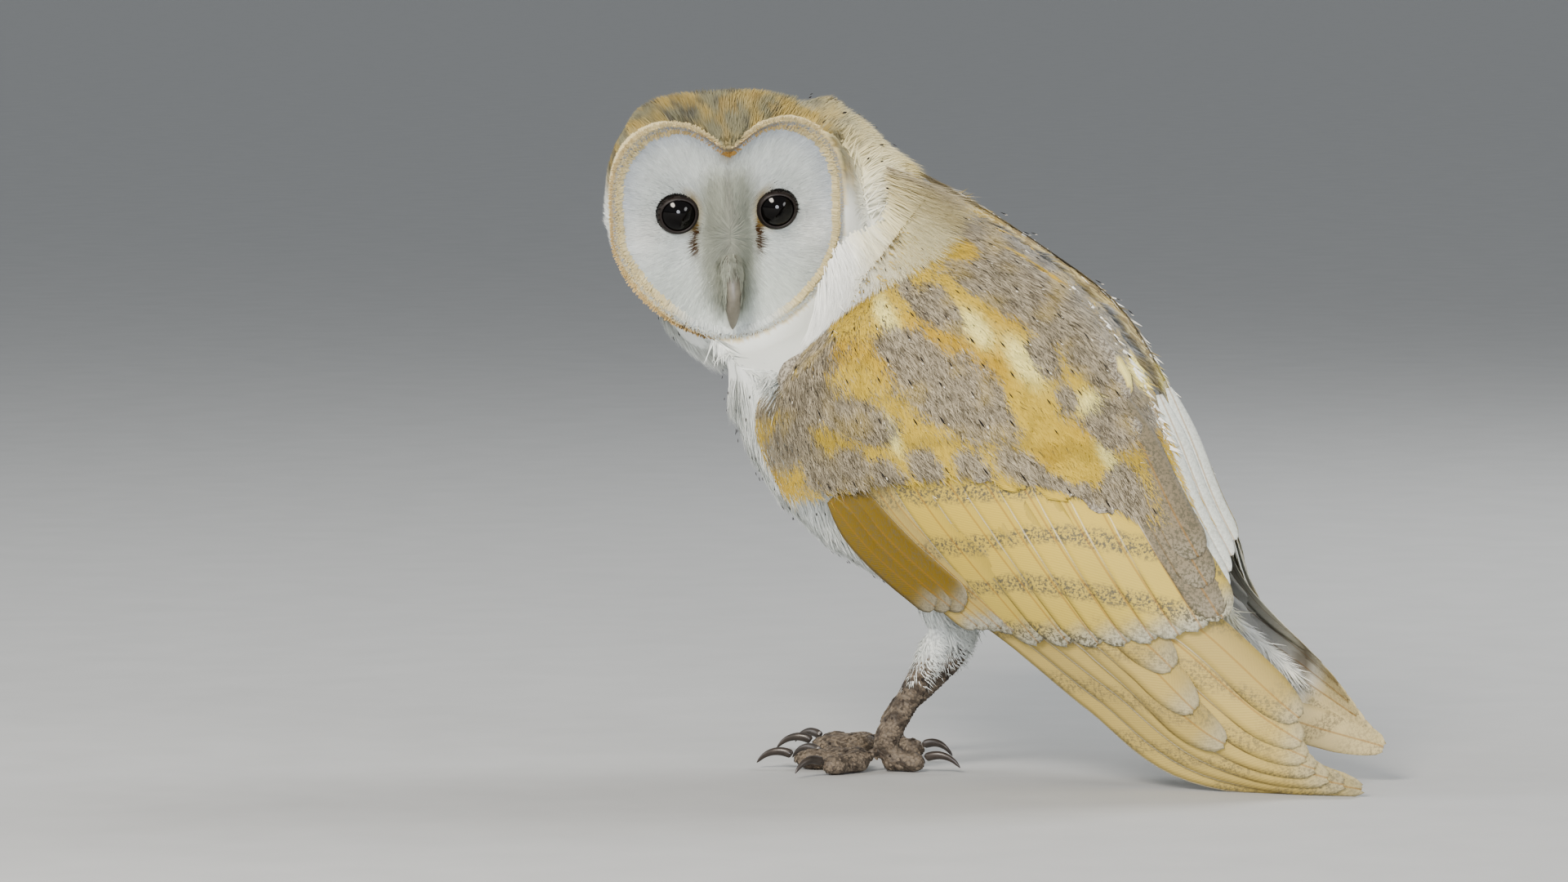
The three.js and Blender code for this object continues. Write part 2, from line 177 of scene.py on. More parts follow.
def buildStudio():
    bm = bmesh.new()
    bmesh.ops.create_grid(bm, x_segments=1, y_segments=1, size=studio["floorSize"] / 2)
    mesh = bpy.data.meshes.new("floor")
    bm.to_mesh(mesh)
    bm.free()
    floor = bpy.data.objects.new("floor", mesh)
    bpy.context.scene.collection.objects.link(floor)
    # matt studio paint with a faint cloudiness
    mesh.materials.append(cloudedMaterial("paintedFloor", {"Roughness": 0.85}, 30.0, 4.0,
                                          "A6A7A6", "B0B1B0"))
    world = bpy.data.worlds.new("studio")
    bpy.context.scene.world = world
    world.use_nodes = True
    sky = world.node_tree.nodes["Background"]
    sky.inputs[0].default_value = rgba(studio["skyColour"])
    sky.inputs[1].default_value = studio["sky"]
    bpy.context.scene.view_settings.look = studio["look"]
    aim = Vector(shot["aim"])
    for name, lamp in lamps.items():
        data = bpy.data.lights.new(name, "AREA")
        data.shape = "DISK"
        data.size = lamp["size"]
        data.energy = lamp["power"]
        data.color = linear(lamp["colour"])
        light = bpy.data.objects.new(name, data)
        light.location = lamp["place"]
        light.rotation_mode = "QUATERNION"
        light.rotation_quaternion = (aim - light.location).to_track_quat("-Z", "Y")
        bpy.context.scene.collection.objects.link(light)


placeCamera()
buildStudio()
print("camera, floor and lights are set")

# the bird's own frame, in millimetres: forward -Y, its left +X, floor at z 0

tailEnd = 184  # how far back the tail's end is in the bird's frame
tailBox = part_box("tail")
shift = np.array([(tailBox[0].x + tailBox[1].x) * 500, tailBox[1].y * 1000 - tailEnd, 0])


def placed(p):  # bird's millimetres to the row's metres
    return (p + shift) / 1000


head = dict(centre=(7.2, -59.4, 199.5), turn=36, nod=12, roll=2.5, reach=43, corner=7, notch=11,
            chin=1.8, cheek=1.5, rim=25, sweep=7, dish=7, ridge=8)
eyes = dict(radius=9.5, apart=36.5, height=6.3, depth=11.5)


def headAxes():
    t, n, r = (math.radians(head[key]) for key in ("turn", "nod", "roll"))
    out = np.array([math.cos(t) * math.cos(n), math.sin(t) * math.cos(n), -math.sin(n)])
    flat = np.array([-math.sin(t), math.cos(t), 0])
    left = flat * math.cos(r) + np.cross(out, flat) * math.sin(r)
    return np.stack([left, np.cross(out, left), out])


axes = headAxes()  # rows: towards its left eye, up, out of the face


def toHead(p):
    return (p - np.array(head["centre"])) @ axes.T


def fromHead(h):
    return np.asarray(h, float) @ axes + np.array(head["centre"])


def discReach(angle):
    slant = np.sin(2 * angle) ** 2
    low = head["reach"] - head["chin"] * np.sin(angle) ** 2 - head["cheek"] * slant
    notch = head["notch"] * stripe(angle, math.pi / 2, 0.3)
    return np.where(np.sin(angle) < 0, low, head["reach"] + head["corner"] * slant - notch)


def discShare(x, y):
    return np.hypot(x, y) / discReach(np.arctan2(y, x))


def fromEye(x, y):  # distance from the nearer eye's middle, seen from the front
    return np.hypot(np.abs(x) - eyes["apart"] / 2, y - eyes["height"])


def faceHeight(x, y):
    fade = smooth(-y, -24, 0) * (1 - smooth(-y, 20, 38))
    ridge = head["ridge"] * stripe(x, 0, 6.5) * fade
    return (head["rim"] - head["sweep"] * (x / head["reach"]) ** 2
            - head["dish"] * (1 - np.minimum(discShare(x, y), 1.15) ** 4) + ridge)


wingForms = {
    "left": dict(
        leading=[(40, -8, 156), (43, -21, 134), (45, -8, 106), (46, 14, 83), (43, 44, 63),
                 (42, 69, 50), (37, 98, 28), (31, 133, 6), (23, 198, 2.5)],
        upper=[(8, 24, 212), (5, 62, 192), (8, 93, 171), (12, 112, 149), (17, 127, 126),
               (23, 142, 100), (26, 160, 72), (25, 180, 35), (23, 200, 7)]),
    "right": dict(
        leading=[(40, -8, 156), (43, -21, 134), (45, -8, 106), (46, 14, 83), (43, 44, 65),
                 (41, 68, 55), (36, 100, 42), (29, 148, 26), (22, 190, 15)],
        upper=[(8, 24, 212), (7, 62, 192), (12, 92, 170), (20, 107, 143), (24, 118, 116),
               (26, 130, 90), (25, 140, 65), (22, 164, 44), (21, 192, 20)]),
}
wingBulge = [20, 28, 31, 31, 27, 21, 12, 5, 0.6]
wingSpan, wingChord = 26, 95  # mm for one step of s, and for all of t


def wingPoint(side, s, t):  # s from wrist to tip, t from leading to upper edge
    s, t = np.broadcast_arrays(np.asarray(s, float), np.asarray(t, float))
    form = wingForms[side]
    low, high = curve(form["leading"], s), curve(form["upper"], s)
    bulge = curve(wingBulge, s)[..., 0]
    step = 1e-3
    along = unit(sum(unit(curve(form[k], s + step) - curve(form[k], s - step))
                     for k in ("leading", "upper")))
    chord = high - low
    wide = np.linalg.norm(chord, axis=-1)
    out = unit(np.cross(chord, along))
    out = np.where(out[..., :1] < 0, -out, out)
    normal = unit(out - chord / wide[..., None] ** 2 * (bulge * 4 * (1 - 2 * t))[..., None])
    p = low + chord * t[..., None] + out * (bulge * (1 - (2 * t - 1) ** 2))[..., None]
    if side == "right":
        p, normal = p * (-1, 1, 1), normal * (-1, 1, 1)
    return p, normal, wide


# skin

bothSides = ("left", "right")
fleshParts = ["head", "neck", "trunk", "mantle"] + [
    f"{part}_{side}" for side in bothSides
    for part in ("coverts", "thigh", "tarsus", "toe_inner", "toe_middle", "toe_outer", "toe_hind")]
coatDepth = dict(head=2.2, neck=2.8, trunk=3.2, mantle=2.4, coverts=2.6, thigh=2.8, tarsus=0.6,
                 toe=0.0)  # mm of feathers over the skin
skinForm = dict(voxel=0.0016, passes=9, neckPasses=26, footPasses=2, depthPasses=12,
                grow=0.4)  # grow closes the nodes' gaps


def partKind(name):
    return name.split("_")[0]


def kindsOf(parts):  # the kind of flesh under each of the places
    return np.array([partKind(name) for name in fleshParts])[parts]


def skinCopy():  # one closed surface round all the flesh, its places in the bird's millimetres
    bm = bmesh.new()
    for name in fleshParts:
        bm.from_mesh(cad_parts[name].data)
    bmesh.ops.remove_doubles(bm, verts=bm.verts, dist=1e-6)
    bm.normal_update()
    for place, vert in [(v.co + v.normal * skinForm["grow"] / 1000, v) for v in bm.verts]:
        vert.co = place
    mesh = bpy.data.meshes.new("skin")
    bm.to_mesh(mesh)
    bm.free()
    body = bpy.data.objects.new("skin", mesh)
    bpy.context.scene.collection.objects.link(body)
    remesh = body.modifiers.new("remesh", "REMESH")
    remesh.mode = "VOXEL"
    remesh.voxel_size = skinForm["voxel"]
    view = bpy.context.evaluated_depsgraph_get()
    done = bpy.data.meshes.new_from_object(body.evaluated_get(view))
    body.modifiers.clear()
    body.data = done
    bpy.data.meshes.remove(mesh)
    return body


def keepLargest(bm):
    left, islands = set(bm.verts), []
    while left:
        start = left.pop()
        island, edge = {start}, [start]
        while edge:
            for link in edge.pop().link_edges:
                for vert in link.verts:
                    if vert in left:
                        left.discard(vert)
                        island.add(vert)
                        edge.append(vert)
        islands.append(island)
    keep = max(islands, key=len)
    bmesh.ops.delete(bm, geom=[v for v in bm.verts if v not in keep], context="VERTS")


def partFinder():  # which of the flesh nodes is nearest to a point
    places, faces, owner = [], [], []
    for index, name in enumerate(fleshParts):
        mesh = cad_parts[name].data
        start = len(places)
        places += [v.co.copy() for v in mesh.vertices]
        faces += [[start + i for i in face.vertices] for face in mesh.polygons]
        owner += [index] * len(mesh.polygons)
    tree = BVHTree.FromPolygons(places, faces)
    return lambda p: owner[tree.find_nearest(p)[2]]


def vertexData(mesh, key):
    values = np.zeros(len(mesh.vertices) * 3)
    mesh.vertices.foreach_get(key, values)
    return values.reshape(-1, 3)


def buildSkin():
    body = skinCopy()
    bm = bmesh.new()
    bm.from_mesh(body.data)
    keepLargest(bm)
    find = partFinder()
    parts = np.array([find(v.co) for v in bm.verts])
    kinds = kindsOf(parts)
    passes = np.full(len(parts), skinForm["passes"])
    passes[np.isin(kinds, ["toe", "tarsus"])] = skinForm["footPasses"]
    passes[np.isin(kinds, ["neck", "mantle"])] = skinForm["neckPasses"]
    behind = toHead(np.array([v.co for v in bm.verts]) * 1000 - shift)[:, 2] < 4
    passes[(parts == 0) & behind] = skinForm["neckPasses"]
    for count in range(skinForm["neckPasses"]):
        verts = [v for v, most in zip(bm.verts, passes) if count < most]
        bmesh.ops.smooth_vert(bm, verts=verts, factor=0.5, use_axis_x=True, use_axis_y=True,
                              use_axis_z=True)
    bm.normal_update()
    bm.to_mesh(body.data)
    bm.free()
    mesh = body.data
    count = len(mesh.vertices)
    ends = np.zeros(len(mesh.edges) * 2, int)
    mesh.edges.foreach_get("vertices", ends)
    a, b = ends.reshape(-1, 2).T
    depth = np.array([coatDepth[kind] for kind in kinds])
    links = np.bincount(a, minlength=count) + np.bincount(b, minlength=count)
    for _ in range(skinForm["depthPasses"]):
        total = np.bincount(a, depth[b], count) + np.bincount(b, depth[a], count)
        depth = 0.5 * depth + 0.5 * total / np.maximum(links, 1)
    depth += skinForm["grow"]
    p = vertexData(mesh, "co") * 1000 - shift - vertexData(mesh, "normal") * depth[:, None]
    p[:, 2] = np.maximum(p[:, 2], 0.0)
    # the face inside the rim follows the disc's own height
    h = toHead(p)
    share = discShare(h[:, 0], h[:, 1])
    on = (share < 0.97) & (h[:, 2] > faceHeight(h[:, 0], h[:, 1]) - 6.5) & (parts == 0)
    on &= fromEye(h[:, 0], h[:, 1]) > 8.5  # the sockets stay as they are
    h[on, 2] = faceHeight(h[on, 0], h[on, 1]) - 2.0
    p[on] = fromHead(h[on])
    mesh.vertices.foreach_set("co", placed(p).ravel())
    mesh.update()
    for face in mesh.polygons:
        face.use_smooth = True
    return body, p, parts


skin, skinPoints, skinParts = buildSkin()
skin.data.calc_loop_triangles()
triangles = np.zeros(len(skin.data.loop_triangles) * 3, int)
skin.data.loop_triangles.foreach_get("vertices", triangles)
triangles = triangles.reshape(-1, 3)
skinNormals = vertexData(skin.data, "normal")
triangleParts = skinParts[triangles[:, 0]]
print("skin:", len(skin.data.polygons), "faces")

# plumage colours, shared by the skin and the coat

tones = {name: linear(code) for name, code in dict(
    white="DCDDD7", breast="D9DCD7", cream="DAD3AE", nape="A6935C", crown="807D66",
    crownDark="57554D", crownBuff="9A8550", gold="BEA64E", orange="AC8A34", yellow="E4DA92",
    greyLight="ABA28E", greyDark="48433B", greyPale="D6D1C2", slate="7C8083",
    mantleBlue="A9AFB4", ink="221E1B", face="C8CDC9", outerFace="ADB3BA", ridge="8D9082",
    lowFace="B9C0B7", rust="3D2811", rim="D3C69C", rimBuff="A8844A", rimDark="3A2D1E",
    leg="756A5C", legDark="453D35", under="E6E5DC", alula="7E671F", flight="B4A055",
    primary="AE9B60", mottle="6E6350", vane="CDD1C8", tipGrey="A5A79E", tertial="857A64",
    tail="E3D9B6").items()}


def legTint(p):
    return blend(tones["leg"], tones["legDark"], smooth(grain(p, 3, 7.7), -0.2, 0.5))


def napeward(p):  # grows up and back, from the breast to the nape
    return 0.6 * p[:, 1] + 0.8 * (p[:, 2] - 190)


def crownTint(h):
    long = np.stack([h[:, 0], h[:, 1], h[:, 2] * 0.35], -1)  # mottles drawn out backwards
    tint = blend(tones["nape"], tones["crown"], smooth(grain(long, 7.5, 3.1), -0.35, 0.25))
    fade = 1 - stripe(h[:, 0], 0, 6) * smooth(h[:, 1], 42, 34)  # plain along the brow's middle
    tint = blend(tint, tones["crownDark"], 0.7 * fade * smooth(grain(long, 3.6, 9.7), 0.05, 0.45))
    return blend(tint, tones["crownBuff"], 0.6 * smooth(grain(long, 4.5, 5.5), 0.1, 0.5))


def bodyTint(p, parts):
    h = toHead(p)
    kinds = kindsOf(parts)
    warm = smooth(napeward(p), 4, 44)
    tint = blend(tones["breast"], tones["cream"], np.minimum(1, 2 * warm))
    tint = blend(tint, tones["nape"], 0.7 * np.maximum(0, 2 * warm - 1))
    top = crownTint(h)
    crowned = smooth(h[:, 1] - 0.5 * np.minimum(h[:, 2], 0), 4, 22)
    onHead = np.isin(kinds, ["head"]).astype(float)
    nearHead = smooth(np.linalg.norm(h, axis=1), 66, 52) * np.isin(kinds, ["neck", "mantle"])
    tint = blend(tint, top, crowned * np.maximum(onHead, nearHead * 0.8))
    grey = blend(tones["greyLight"], tones["greyDark"], 0.25 + 0.35 * grain(p, 5, 2.2))
    grey = blend(grey, tones["mantleBlue"], 0.6)
    grey = blend(grey, tones["gold"], 0.6 * smooth(grain(p, 9, 7.1), 0.0, 0.4))
    tint = blend(tint, grey, np.isin(kinds, ["mantle"]) * smooth(p[:, 1], 18, 34))
    leg = legTint(p)
    tint = np.where(np.isin(kinds, ["toe"])[:, None], leg, tint)
    bare = np.isin(kinds, ["tarsus"]) * smooth(p[:, 2], 46, 36)
    return blend(tint, leg, bare)


def faceTint(x, y):
    side = np.abs(x)
    share = discShare(x, y)
    tint = np.broadcast_to(tones["face"], x.shape + (3,))
    tint = blend(tint, tones["outerFace"], 0.8 * smooth(share, 0.62, 0.85) * smooth(y, -28, -5))
    cheek = np.exp(-(((side - 29) / 8) ** 2) - ((y + 2) / 10) ** 2)
    tint = blend(tint, tones["white"], 0.7 * cheek)
    tint = blend(tint, tones["lowFace"], 0.6 * smooth(-y, 4, 22) * smooth(share, 0.95, 0.7))
    reach = np.interp(y, [-34, -20, 0, 8, 28], [4.5, 7.5, 11.5, 10.5, 4.5])
    ridge = smooth(side, reach + 4.5, reach - 4) * smooth(y, 32, 12) * smooth(y, -38, -18)
    tint = blend(tint, tones["ridge"], 0.9 * ridge)
    tint = blend(tint, tones["greyDark"], 0.35 * stripe(x, 0, 0.8) * smooth(y, 30, 12))
    edge = 11.3 + 0.1 * (y - 2)
    stain = stripe(side, edge, 1.1) * smooth(y, -12, -4) * smooth(y, 14, 6)
    tint = blend(tint, tones["rust"], np.clip(1.5 * stain, 0, 1))
    halo = smooth(fromEye(x, y), 10.5, 8) * smooth(side, 18, 12)
    tint = blend(tint, tones["crownBuff"], 0.5 * halo)
    spot = np.exp(-((x - 0.8) / 0.9) ** 2 - ((y + 12.5) / 1.2) ** 2)
    tint = blend(tint, tones["ink"], 0.9 * spot)
    notch = stripe(x, 0, 2.5) * smooth(y, 22, 27)
    return blend(tint, tones["crownBuff"], 0.7 * notch)


def rimTint(angle, inset):  # gold along the outer edge, and along the inner edge at the brow
    turn = np.degrees(angle) % 360
    brow = stripe(turn, 90, 30) * smooth(inset, 0.3, 0.75)
    edge = np.interp(turn, [0, 35, 60, 125, 150, 175, 235, 262, 278, 310, 360],
                     [0.6, 0.35, 0.1, 0.1, 0.35, 0.5, 0.6, 0.75, 0.8, 0.85, 0.6])
    tint = blend(tones["rim"], tones["rimBuff"], np.clip(brow + edge * smooth(inset, 0.5, 0.1), 0, 1))
    return blend(tint, tones["face"], smooth(np.abs(turn - 270), 45, 20) * smooth(inset, 0.4, 0.7))


def featherFlow(p, normal, parts):  # which way the coat lies
    h = toHead(p)
    kinds = kindsOf(parts)
    r = np.hypot(h[:, 0], h[:, 1])
    radial = np.stack([h[:, 0], h[:, 1], np.full(len(h), -18.0)], -1) @ axes
    back = smooth(normal[:, 1], -0.35, 0.5)
    body = blend(np.array([0, 0.12, -1.0]), np.array([0, 0.8, -0.62]), back)
    away = np.where(np.isin(kinds, ["head"]), smooth(h[:, 2], -12, -42),
                    smooth(r - 0.5 * h[:, 1], 34, 62))
    flow = blend(unit(radial), body, away)
    wing = np.isin(kinds, ["coverts"])
    flow = np.where(wing[:, None], np.array([0, 0.84, -0.54]), flow)
    flow = flow - normal * np.sum(flow * normal, -1, keepdims=True)
    return unit(flow)


def rootsOn(kinds, spacing, seed):  # evenly scattered roots on the skin
    wanted = [i for i, name in enumerate(fleshParts) if partKind(name) in kinds]
    tri = triangles[np.isin(triangleParts, wanted)]
    a, b, c = (skinPoints[tri[:, i]] for i in range(3))
    area = np.linalg.norm(np.cross(b - a, c - a), axis=1) / 2
    rng = np.random.default_rng(seed)
    count = int(area.sum() / spacing ** 2 * 3.5)
    pick = rng.choice(len(tri), count, p=area / area.sum())
    u, v = rng.random((2, count))
    fold = u + v > 1
    u, v = np.where(fold, 1 - u, u), np.where(fold, 1 - v, v)
    weights = np.stack([1 - u - v, u, v], -1)[..., None]
    p = (skinPoints[tri[pick]] * weights).sum(1)
    normal = unit((skinNormals[tri[pick]] * weights).sum(1))
    _, first = np.unique(np.floor(p / spacing).astype(int), axis=0, return_index=True)
    first.sort()
    return p[first], normal[first], skinParts[tri[pick][first, 0]], rng


# vane and tuft shapes


def shapeOf(bm):
    bmesh.ops.recalc_face_normals(bm, faces=bm.faces)
    bm.verts.index_update()
    sizes = [len(f.verts) for f in bm.faces]
    shape = dict(points=np.array([v.co for v in bm.verts]),
                 corners=np.array([v.index for f in bm.faces for v in f.verts]),
                 starts=np.cumsum([0] + sizes[:-1]))
    shape["triangles"] = sum(size - 2 for size in sizes)
    bm.free()
    return shape


def spindle(sides, tip):  # lies along y from 0 to 1
    bm = bmesh.new()
    bmesh.ops.create_cone(bm, cap_ends=True, segments=sides, radius1=1, radius2=tip, depth=1)
    bmesh.ops.rotate(bm, verts=bm.verts, matrix=Matrix.Rotation(math.radians(-90), 3, "X"))
    bmesh.ops.translate(bm, verts=bm.verts, vec=(0, 0.5, 0))
    return bm


def tuftShape(cuts, outline, sides=3):  # a slim closed form of few faces: x wide, y long, z thick
    bm = spindle(sides, 1)
    for cut in cuts:
        bmesh.ops.bisect_plane(bm, geom=bm.verts[:] + bm.edges[:] + bm.faces[:],
                               plane_co=(0, cut, 0), plane_no=(0, 1, 0))
    for vert in bm.verts:
        wide = outline(vert.co.y)
        vert.co.x *= wide
        vert.co.z *= wide
    return shapeOf(bm)


def barbShape():  # a closed spike of only four faces, flat on top
    return shapeOf(spindle(3, 0))


def vaneShape(columns, rows, outline, fray=0.0, seed=0, crowd=1.35):
    bm = bmesh.new()
    bmesh.ops.create_grid(bm, x_segments=columns, y_segments=rows, size=1)
    rng = np.random.default_rng(seed)
    for vert in bm.verts:
        u, v = vert.co.x, 1 - (0.5 - vert.co.y / 2) ** crowd
        edge = 1 + fray * rng.uniform(-1, 1) * (abs(u) > 0.99) * (0.2 < v < 0.99)
        tip = 1 + fray * 0.5 * rng.uniform(-1, 0.4) * (v > 0.99)
        vert.co = (u * outline(v) * edge, v * tip, 0)
    bmesh.ops.solidify(bm, geom=bm.faces[:], thickness=1)
    return shapeOf(bm)


def dropOutline(v):
    return 0.3 + 0.7 * max(math.sin(v * math.pi), 0.0)


def webOutline(root, full, fall, end, power, least):  # narrow root, full web, rounded tip
    def wide(v):
        broad = root + (1 - root) * math.sin(min(v / full, 1) * math.pi / 2)
        return max(least, broad * math.sqrt(max(0.0, 1 - max(0.0, (v - fall) / end) ** power)))

    return wide


contourOutline = webOutline(0.3, 0.6, 0.62, 0.4, 2.4, 0.12)
scaleOutline = webOutline(0.7, 0.5, 0.6, 0.44, 3, 0.3)
bladeOutline = webOutline(0.35, 0.35, 0.86, 0.145, 2.2, 0.1)


# laying feathers


def grow(shape, roots, along, up, length, width, thick, rise, bend, sink=0.6):
    x, y, z = shape["points"].T
    across = unit(np.cross(along, up))
    length, width, thick, rise, bend = (
        np.broadcast_to(np.asarray(q, float), len(roots))[:, None]
        for q in (length, width, thick, rise, bend))
    turn = bend * y * length
    ahead = np.sin(turn) / bend
    fall = (1 - np.cos(turn)) / bend
    lift = z * thick / 2 + rise * np.maximum(y, 0) ** 0.7 - fall - sink * (1 - y)
    points = (roots[:, None] + along[:, None] * ahead[..., None] + up[:, None] * lift[..., None]
              + across[:, None] * (x * width / 2)[..., None])
    quill = np.stack(np.broadcast_arrays(x + 0 * length, x * width / 2, (1 - y) * length), -1)
    return dict(shape=shape, points=points, quill=quill)


def layOnWing(shape, side, root, tip, width, thick, lift, tipLift, droop=0.05):
    x, y, z = shape["points"].T
    root, tip = np.asarray(root, float)[:, None], np.asarray(tip, float)[:, None]
    width, lift, tipLift = (np.broadcast_to(np.asarray(q, float), len(root))[:, None]
                            for q in (width, lift, tipLift))

    def line(v):
        st = root + (tip - root) * v[None, :, None]
        return wingPoint(side, st[..., 0], st[..., 1])

    place, up, _ = line(y)
    step = 0.01
    along = line(y + step)[0] - line(y - step)[0]
    length = np.linalg.norm(line(y * 0 + 1)[0] - line(y * 0)[0], axis=-1)
    along = unit(along - up * np.sum(along * up, -1, keepdims=True))
    across = np.cross(along, up)
    high = lift + (tipLift - lift) * y + z * thick / 2 - droop * x ** 2 * width / 2
    points = place + up * high[..., None] + across * (x * width / 2)[..., None]
    lead = x if side == "left" else -x  # towards the leading edge
    quill = np.stack(np.broadcast_arrays(lead + 0 * length, x * width / 2, (1 - y) * length), -1)
    st = root + (tip - root) * y[None, :, None]
    st = st - np.stack([0 * st[..., 0], lead * width / 2 / wingChord], -1)
    return dict(shape=shape, points=points, quill=quill, st=st)


def paint(mesh, tint):
    layer = mesh.attributes.new("tint", "FLOAT_COLOR", "POINT")
    layer.data.foreach_set("color", np.hstack([tint, np.ones((len(tint), 1))]).ravel())


def newPiece(name, mesh, material):
    mesh.materials.append(material)
    piece = bpy.data.objects.new(name, mesh)
    bpy.context.scene.collection.objects.link(piece)
    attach(piece, "root")
    return piece


patchSize = 0.0014  # each feather's own patch in the unwrap, as a share of the whole


def joined(name, batches, material, soft=True):  # many feathers as one mesh
    places, corners, starts, tint, mark, quill, bake = [], [], [], [], [], [], []
    verts = loops = 0
    for batch in batches:
        shape, count = batch["shape"], len(batch["points"])
        size, ring = len(shape["points"]), len(shape["corners"])
        step = np.arange(count)[:, None]
        corner = shape["corners"] + step * size
        places.append(batch["points"].reshape(-1, 3))
        corners.append((corner + verts).ravel())
        starts.append((shape["starts"] + step * ring + loops).ravel())
        colour = batch["tint"]
        if colour.ndim == 2:
            colour = np.repeat(colour[:, None], size, 1)
        if "under" in batch:  # the side that faces the body
            inside = (shape["points"][:, 2] < -0.5)[None, :, None]
            colour = np.where(inside, batch["under"], colour)
        tint.append(colour.reshape(-1, 3))
        marks = batch["mark"]
        if marks.ndim == 2:
            marks = np.repeat(marks[:, None], size, 1)
        mark.append(marks.reshape(-1, 3))
        quill.append(batch["quill"].reshape(-1, 3))
        x, y, _ = shape["points"].T
        patch = batch["bake"][:, None] + patchSize * np.stack([x, 2 * y - 1], -1)
        bake.append(patch.reshape(-1, 2)[corner.ravel()])
        verts += count * size
        loops += count * ring
    places, corners, starts = (np.concatenate(q) for q in (places, corners, starts))
    places[:, 2] = np.maximum(places[:, 2], 0.05)  # nothing goes into the floor
    mesh = bpy.data.meshes.new(name)
    mesh.vertices.add(verts)
    mesh.vertices.foreach_set("co", placed(places).ravel())
    mesh.loops.add(loops)
    mesh.loops.foreach_set("vertex_index", corners.astype(np.int32))
    mesh.polygons.add(len(starts))
    mesh.polygons.foreach_set("loop_start", starts.astype(np.int32))
    mesh.polygons.foreach_set("use_smooth", np.full(len(starts), not soft))
    mesh.update(calc_edges=True)
    mesh.uv_layers.new(name="OFBake")
    mesh.uv_layers["OFBake"].data.foreach_set("uv", np.concatenate(bake).ravel())
    paint(mesh, np.concatenate(tint))
    for key, values in (("mark", mark), ("quill", quill)):
        layer = mesh.attributes.new(key, "FLOAT_VECTOR", "POINT")
        layer.data.foreach_set("vector", np.concatenate(values).ravel())
    count = sum(b["shape"]["triangles"] * len(b["points"]) for b in batches)
    print(name, count, "triangles")
    return newPiece(name, mesh, material)


def dressed(batch, tint, bake, mark=None, under=None):
    batch["tint"] = tint
    batch["bake"] = np.clip(bake, 0.002, 0.998)
    batch["mark"] = np.zeros((len(tint), 3)) if mark is None else mark
    if under is not None:
        batch["under"] = under
    return batch


def shaded(tint, rng, amount):  # a little lighter or darker from feather to feather
    return np.clip(tint * (1 + amount * rng.uniform(-1, 1, (len(tint), 1))), 0, 1)


def turned(along, up, angle):  # swings a direction about the surface's normal
    across = np.cross(along, up)
    return unit(along * np.cos(angle)[:, None] + across * np.sin(angle)[:, None])


def aroundBody(p):  # unwrap: angle round the body, and height along it
    spine = np.interp(p[:, 2], [40, 100, 150, 200, 240], [85, 40, 0, -45, -55])
    angle = np.arctan2(p[:, 0], p[:, 1] - spine) / (2 * math.pi) + 0.5
    return np.stack([angle, (p[:, 2] - 5) / 250], -1)


def aroundHead(p):  # unwrap: the head seen from behind the face, spread from the crown
    h = toHead(p)
    swing = np.arccos(np.clip(unit(h)[:, 2], -1, 1)) / math.pi
    angle = np.arctan2(h[:, 1], h[:, 0])
    return 0.5 + 0.48 * swing[:, None] * np.stack([np.cos(angle), np.sin(angle)], -1)


def aroundFace(x, y, wide=108):  # unwrap: the face flat from the front, in mm
    return np.stack([x, y], -1) / wide + 0.5


def aroundWing(s, t):  # unwrap: along the wing and across it
    return np.stack([(s + 0.5) / 9, 0.1 + 0.8 * t], -1)


# materials


def featherBase(name, roughness, sheen):
    material, tree, shader = newMaterial(name, {
        "Roughness": roughness, "Sheen Weight": sheen, "Sheen Roughness": 0.5, "IOR": 1.54,
        "Specular IOR Level": 0.25})
    tint = add(tree, "Attribute", attribute_name="tint")
    where = add(tree, "TexCoord", out=3)
    quill, mark = (
        [add(tree, "SeparateXYZ", {0: add(tree, "Attribute", out=1, attribute_name=key)}, out=i)
         for i in range(3)] for key in ("quill", "mark"))
    return material, tree, shader, tint, where, quill, mark


def band(tree, value, low, high, soft):  # 1 between low and high, with soft ends
    rise = ramp(tree, value, low - soft, low + soft)
    return calc(tree, "MULTIPLY", rise, ramp(tree, value, high - soft, high + soft, 1.0, 0.0))


def webs(tree, tint, where, quill, pitch, dark, light, grains, low):  # slanting barbs, and dust
    side = calc(tree, "ABSOLUTE", quill[1])
    lattice = calc(tree, "SUBTRACT", quill[2], side)
    barbs = calc(tree, "SINE", calc(tree, "MULTIPLY", lattice, pitch))
    shade = ramp(tree, barbs, -1.0, 1.0, dark, light, "LINEAR")
    dust = ramp(tree, clouds(tree, where, grains, 3.0, 0.7), low, 0.6)
    return side, barbs, mixed(tree, 1.0, tint, shade, "MULTIPLY"), dust


def downMaterial(name, sheen, streak):
    # loose barbs of keratin: matt, soft, with fine light and dark streaks along each tuft
    material, tree, shader, tint, _, quill, mark = featherBase(name, 0.88, sheen)
    along = add(tree, "CombineXYZ", {0: quill[1], 1: calc(tree, "MULTIPLY", quill[2], 0.12),
                                     2: mark[2]})
    lines = clouds(tree, along, 2.2)
    light = ramp(tree, lines, 0.3, 0.7, 1 - streak, 1 + streak * 0.6, "LINEAR")
    tone = mixed(tree, 1.0, tint, light, "MULTIPLY")
    dark = calc(tree, "MULTIPLY", band(tree, quill[2], 0.6, 2.2, 0.3), mark[0])
    surface(tree, shader, mixed(tree, dark, tone, rgba("3A352F")), lines, 0.5, 0.0003)
    return material


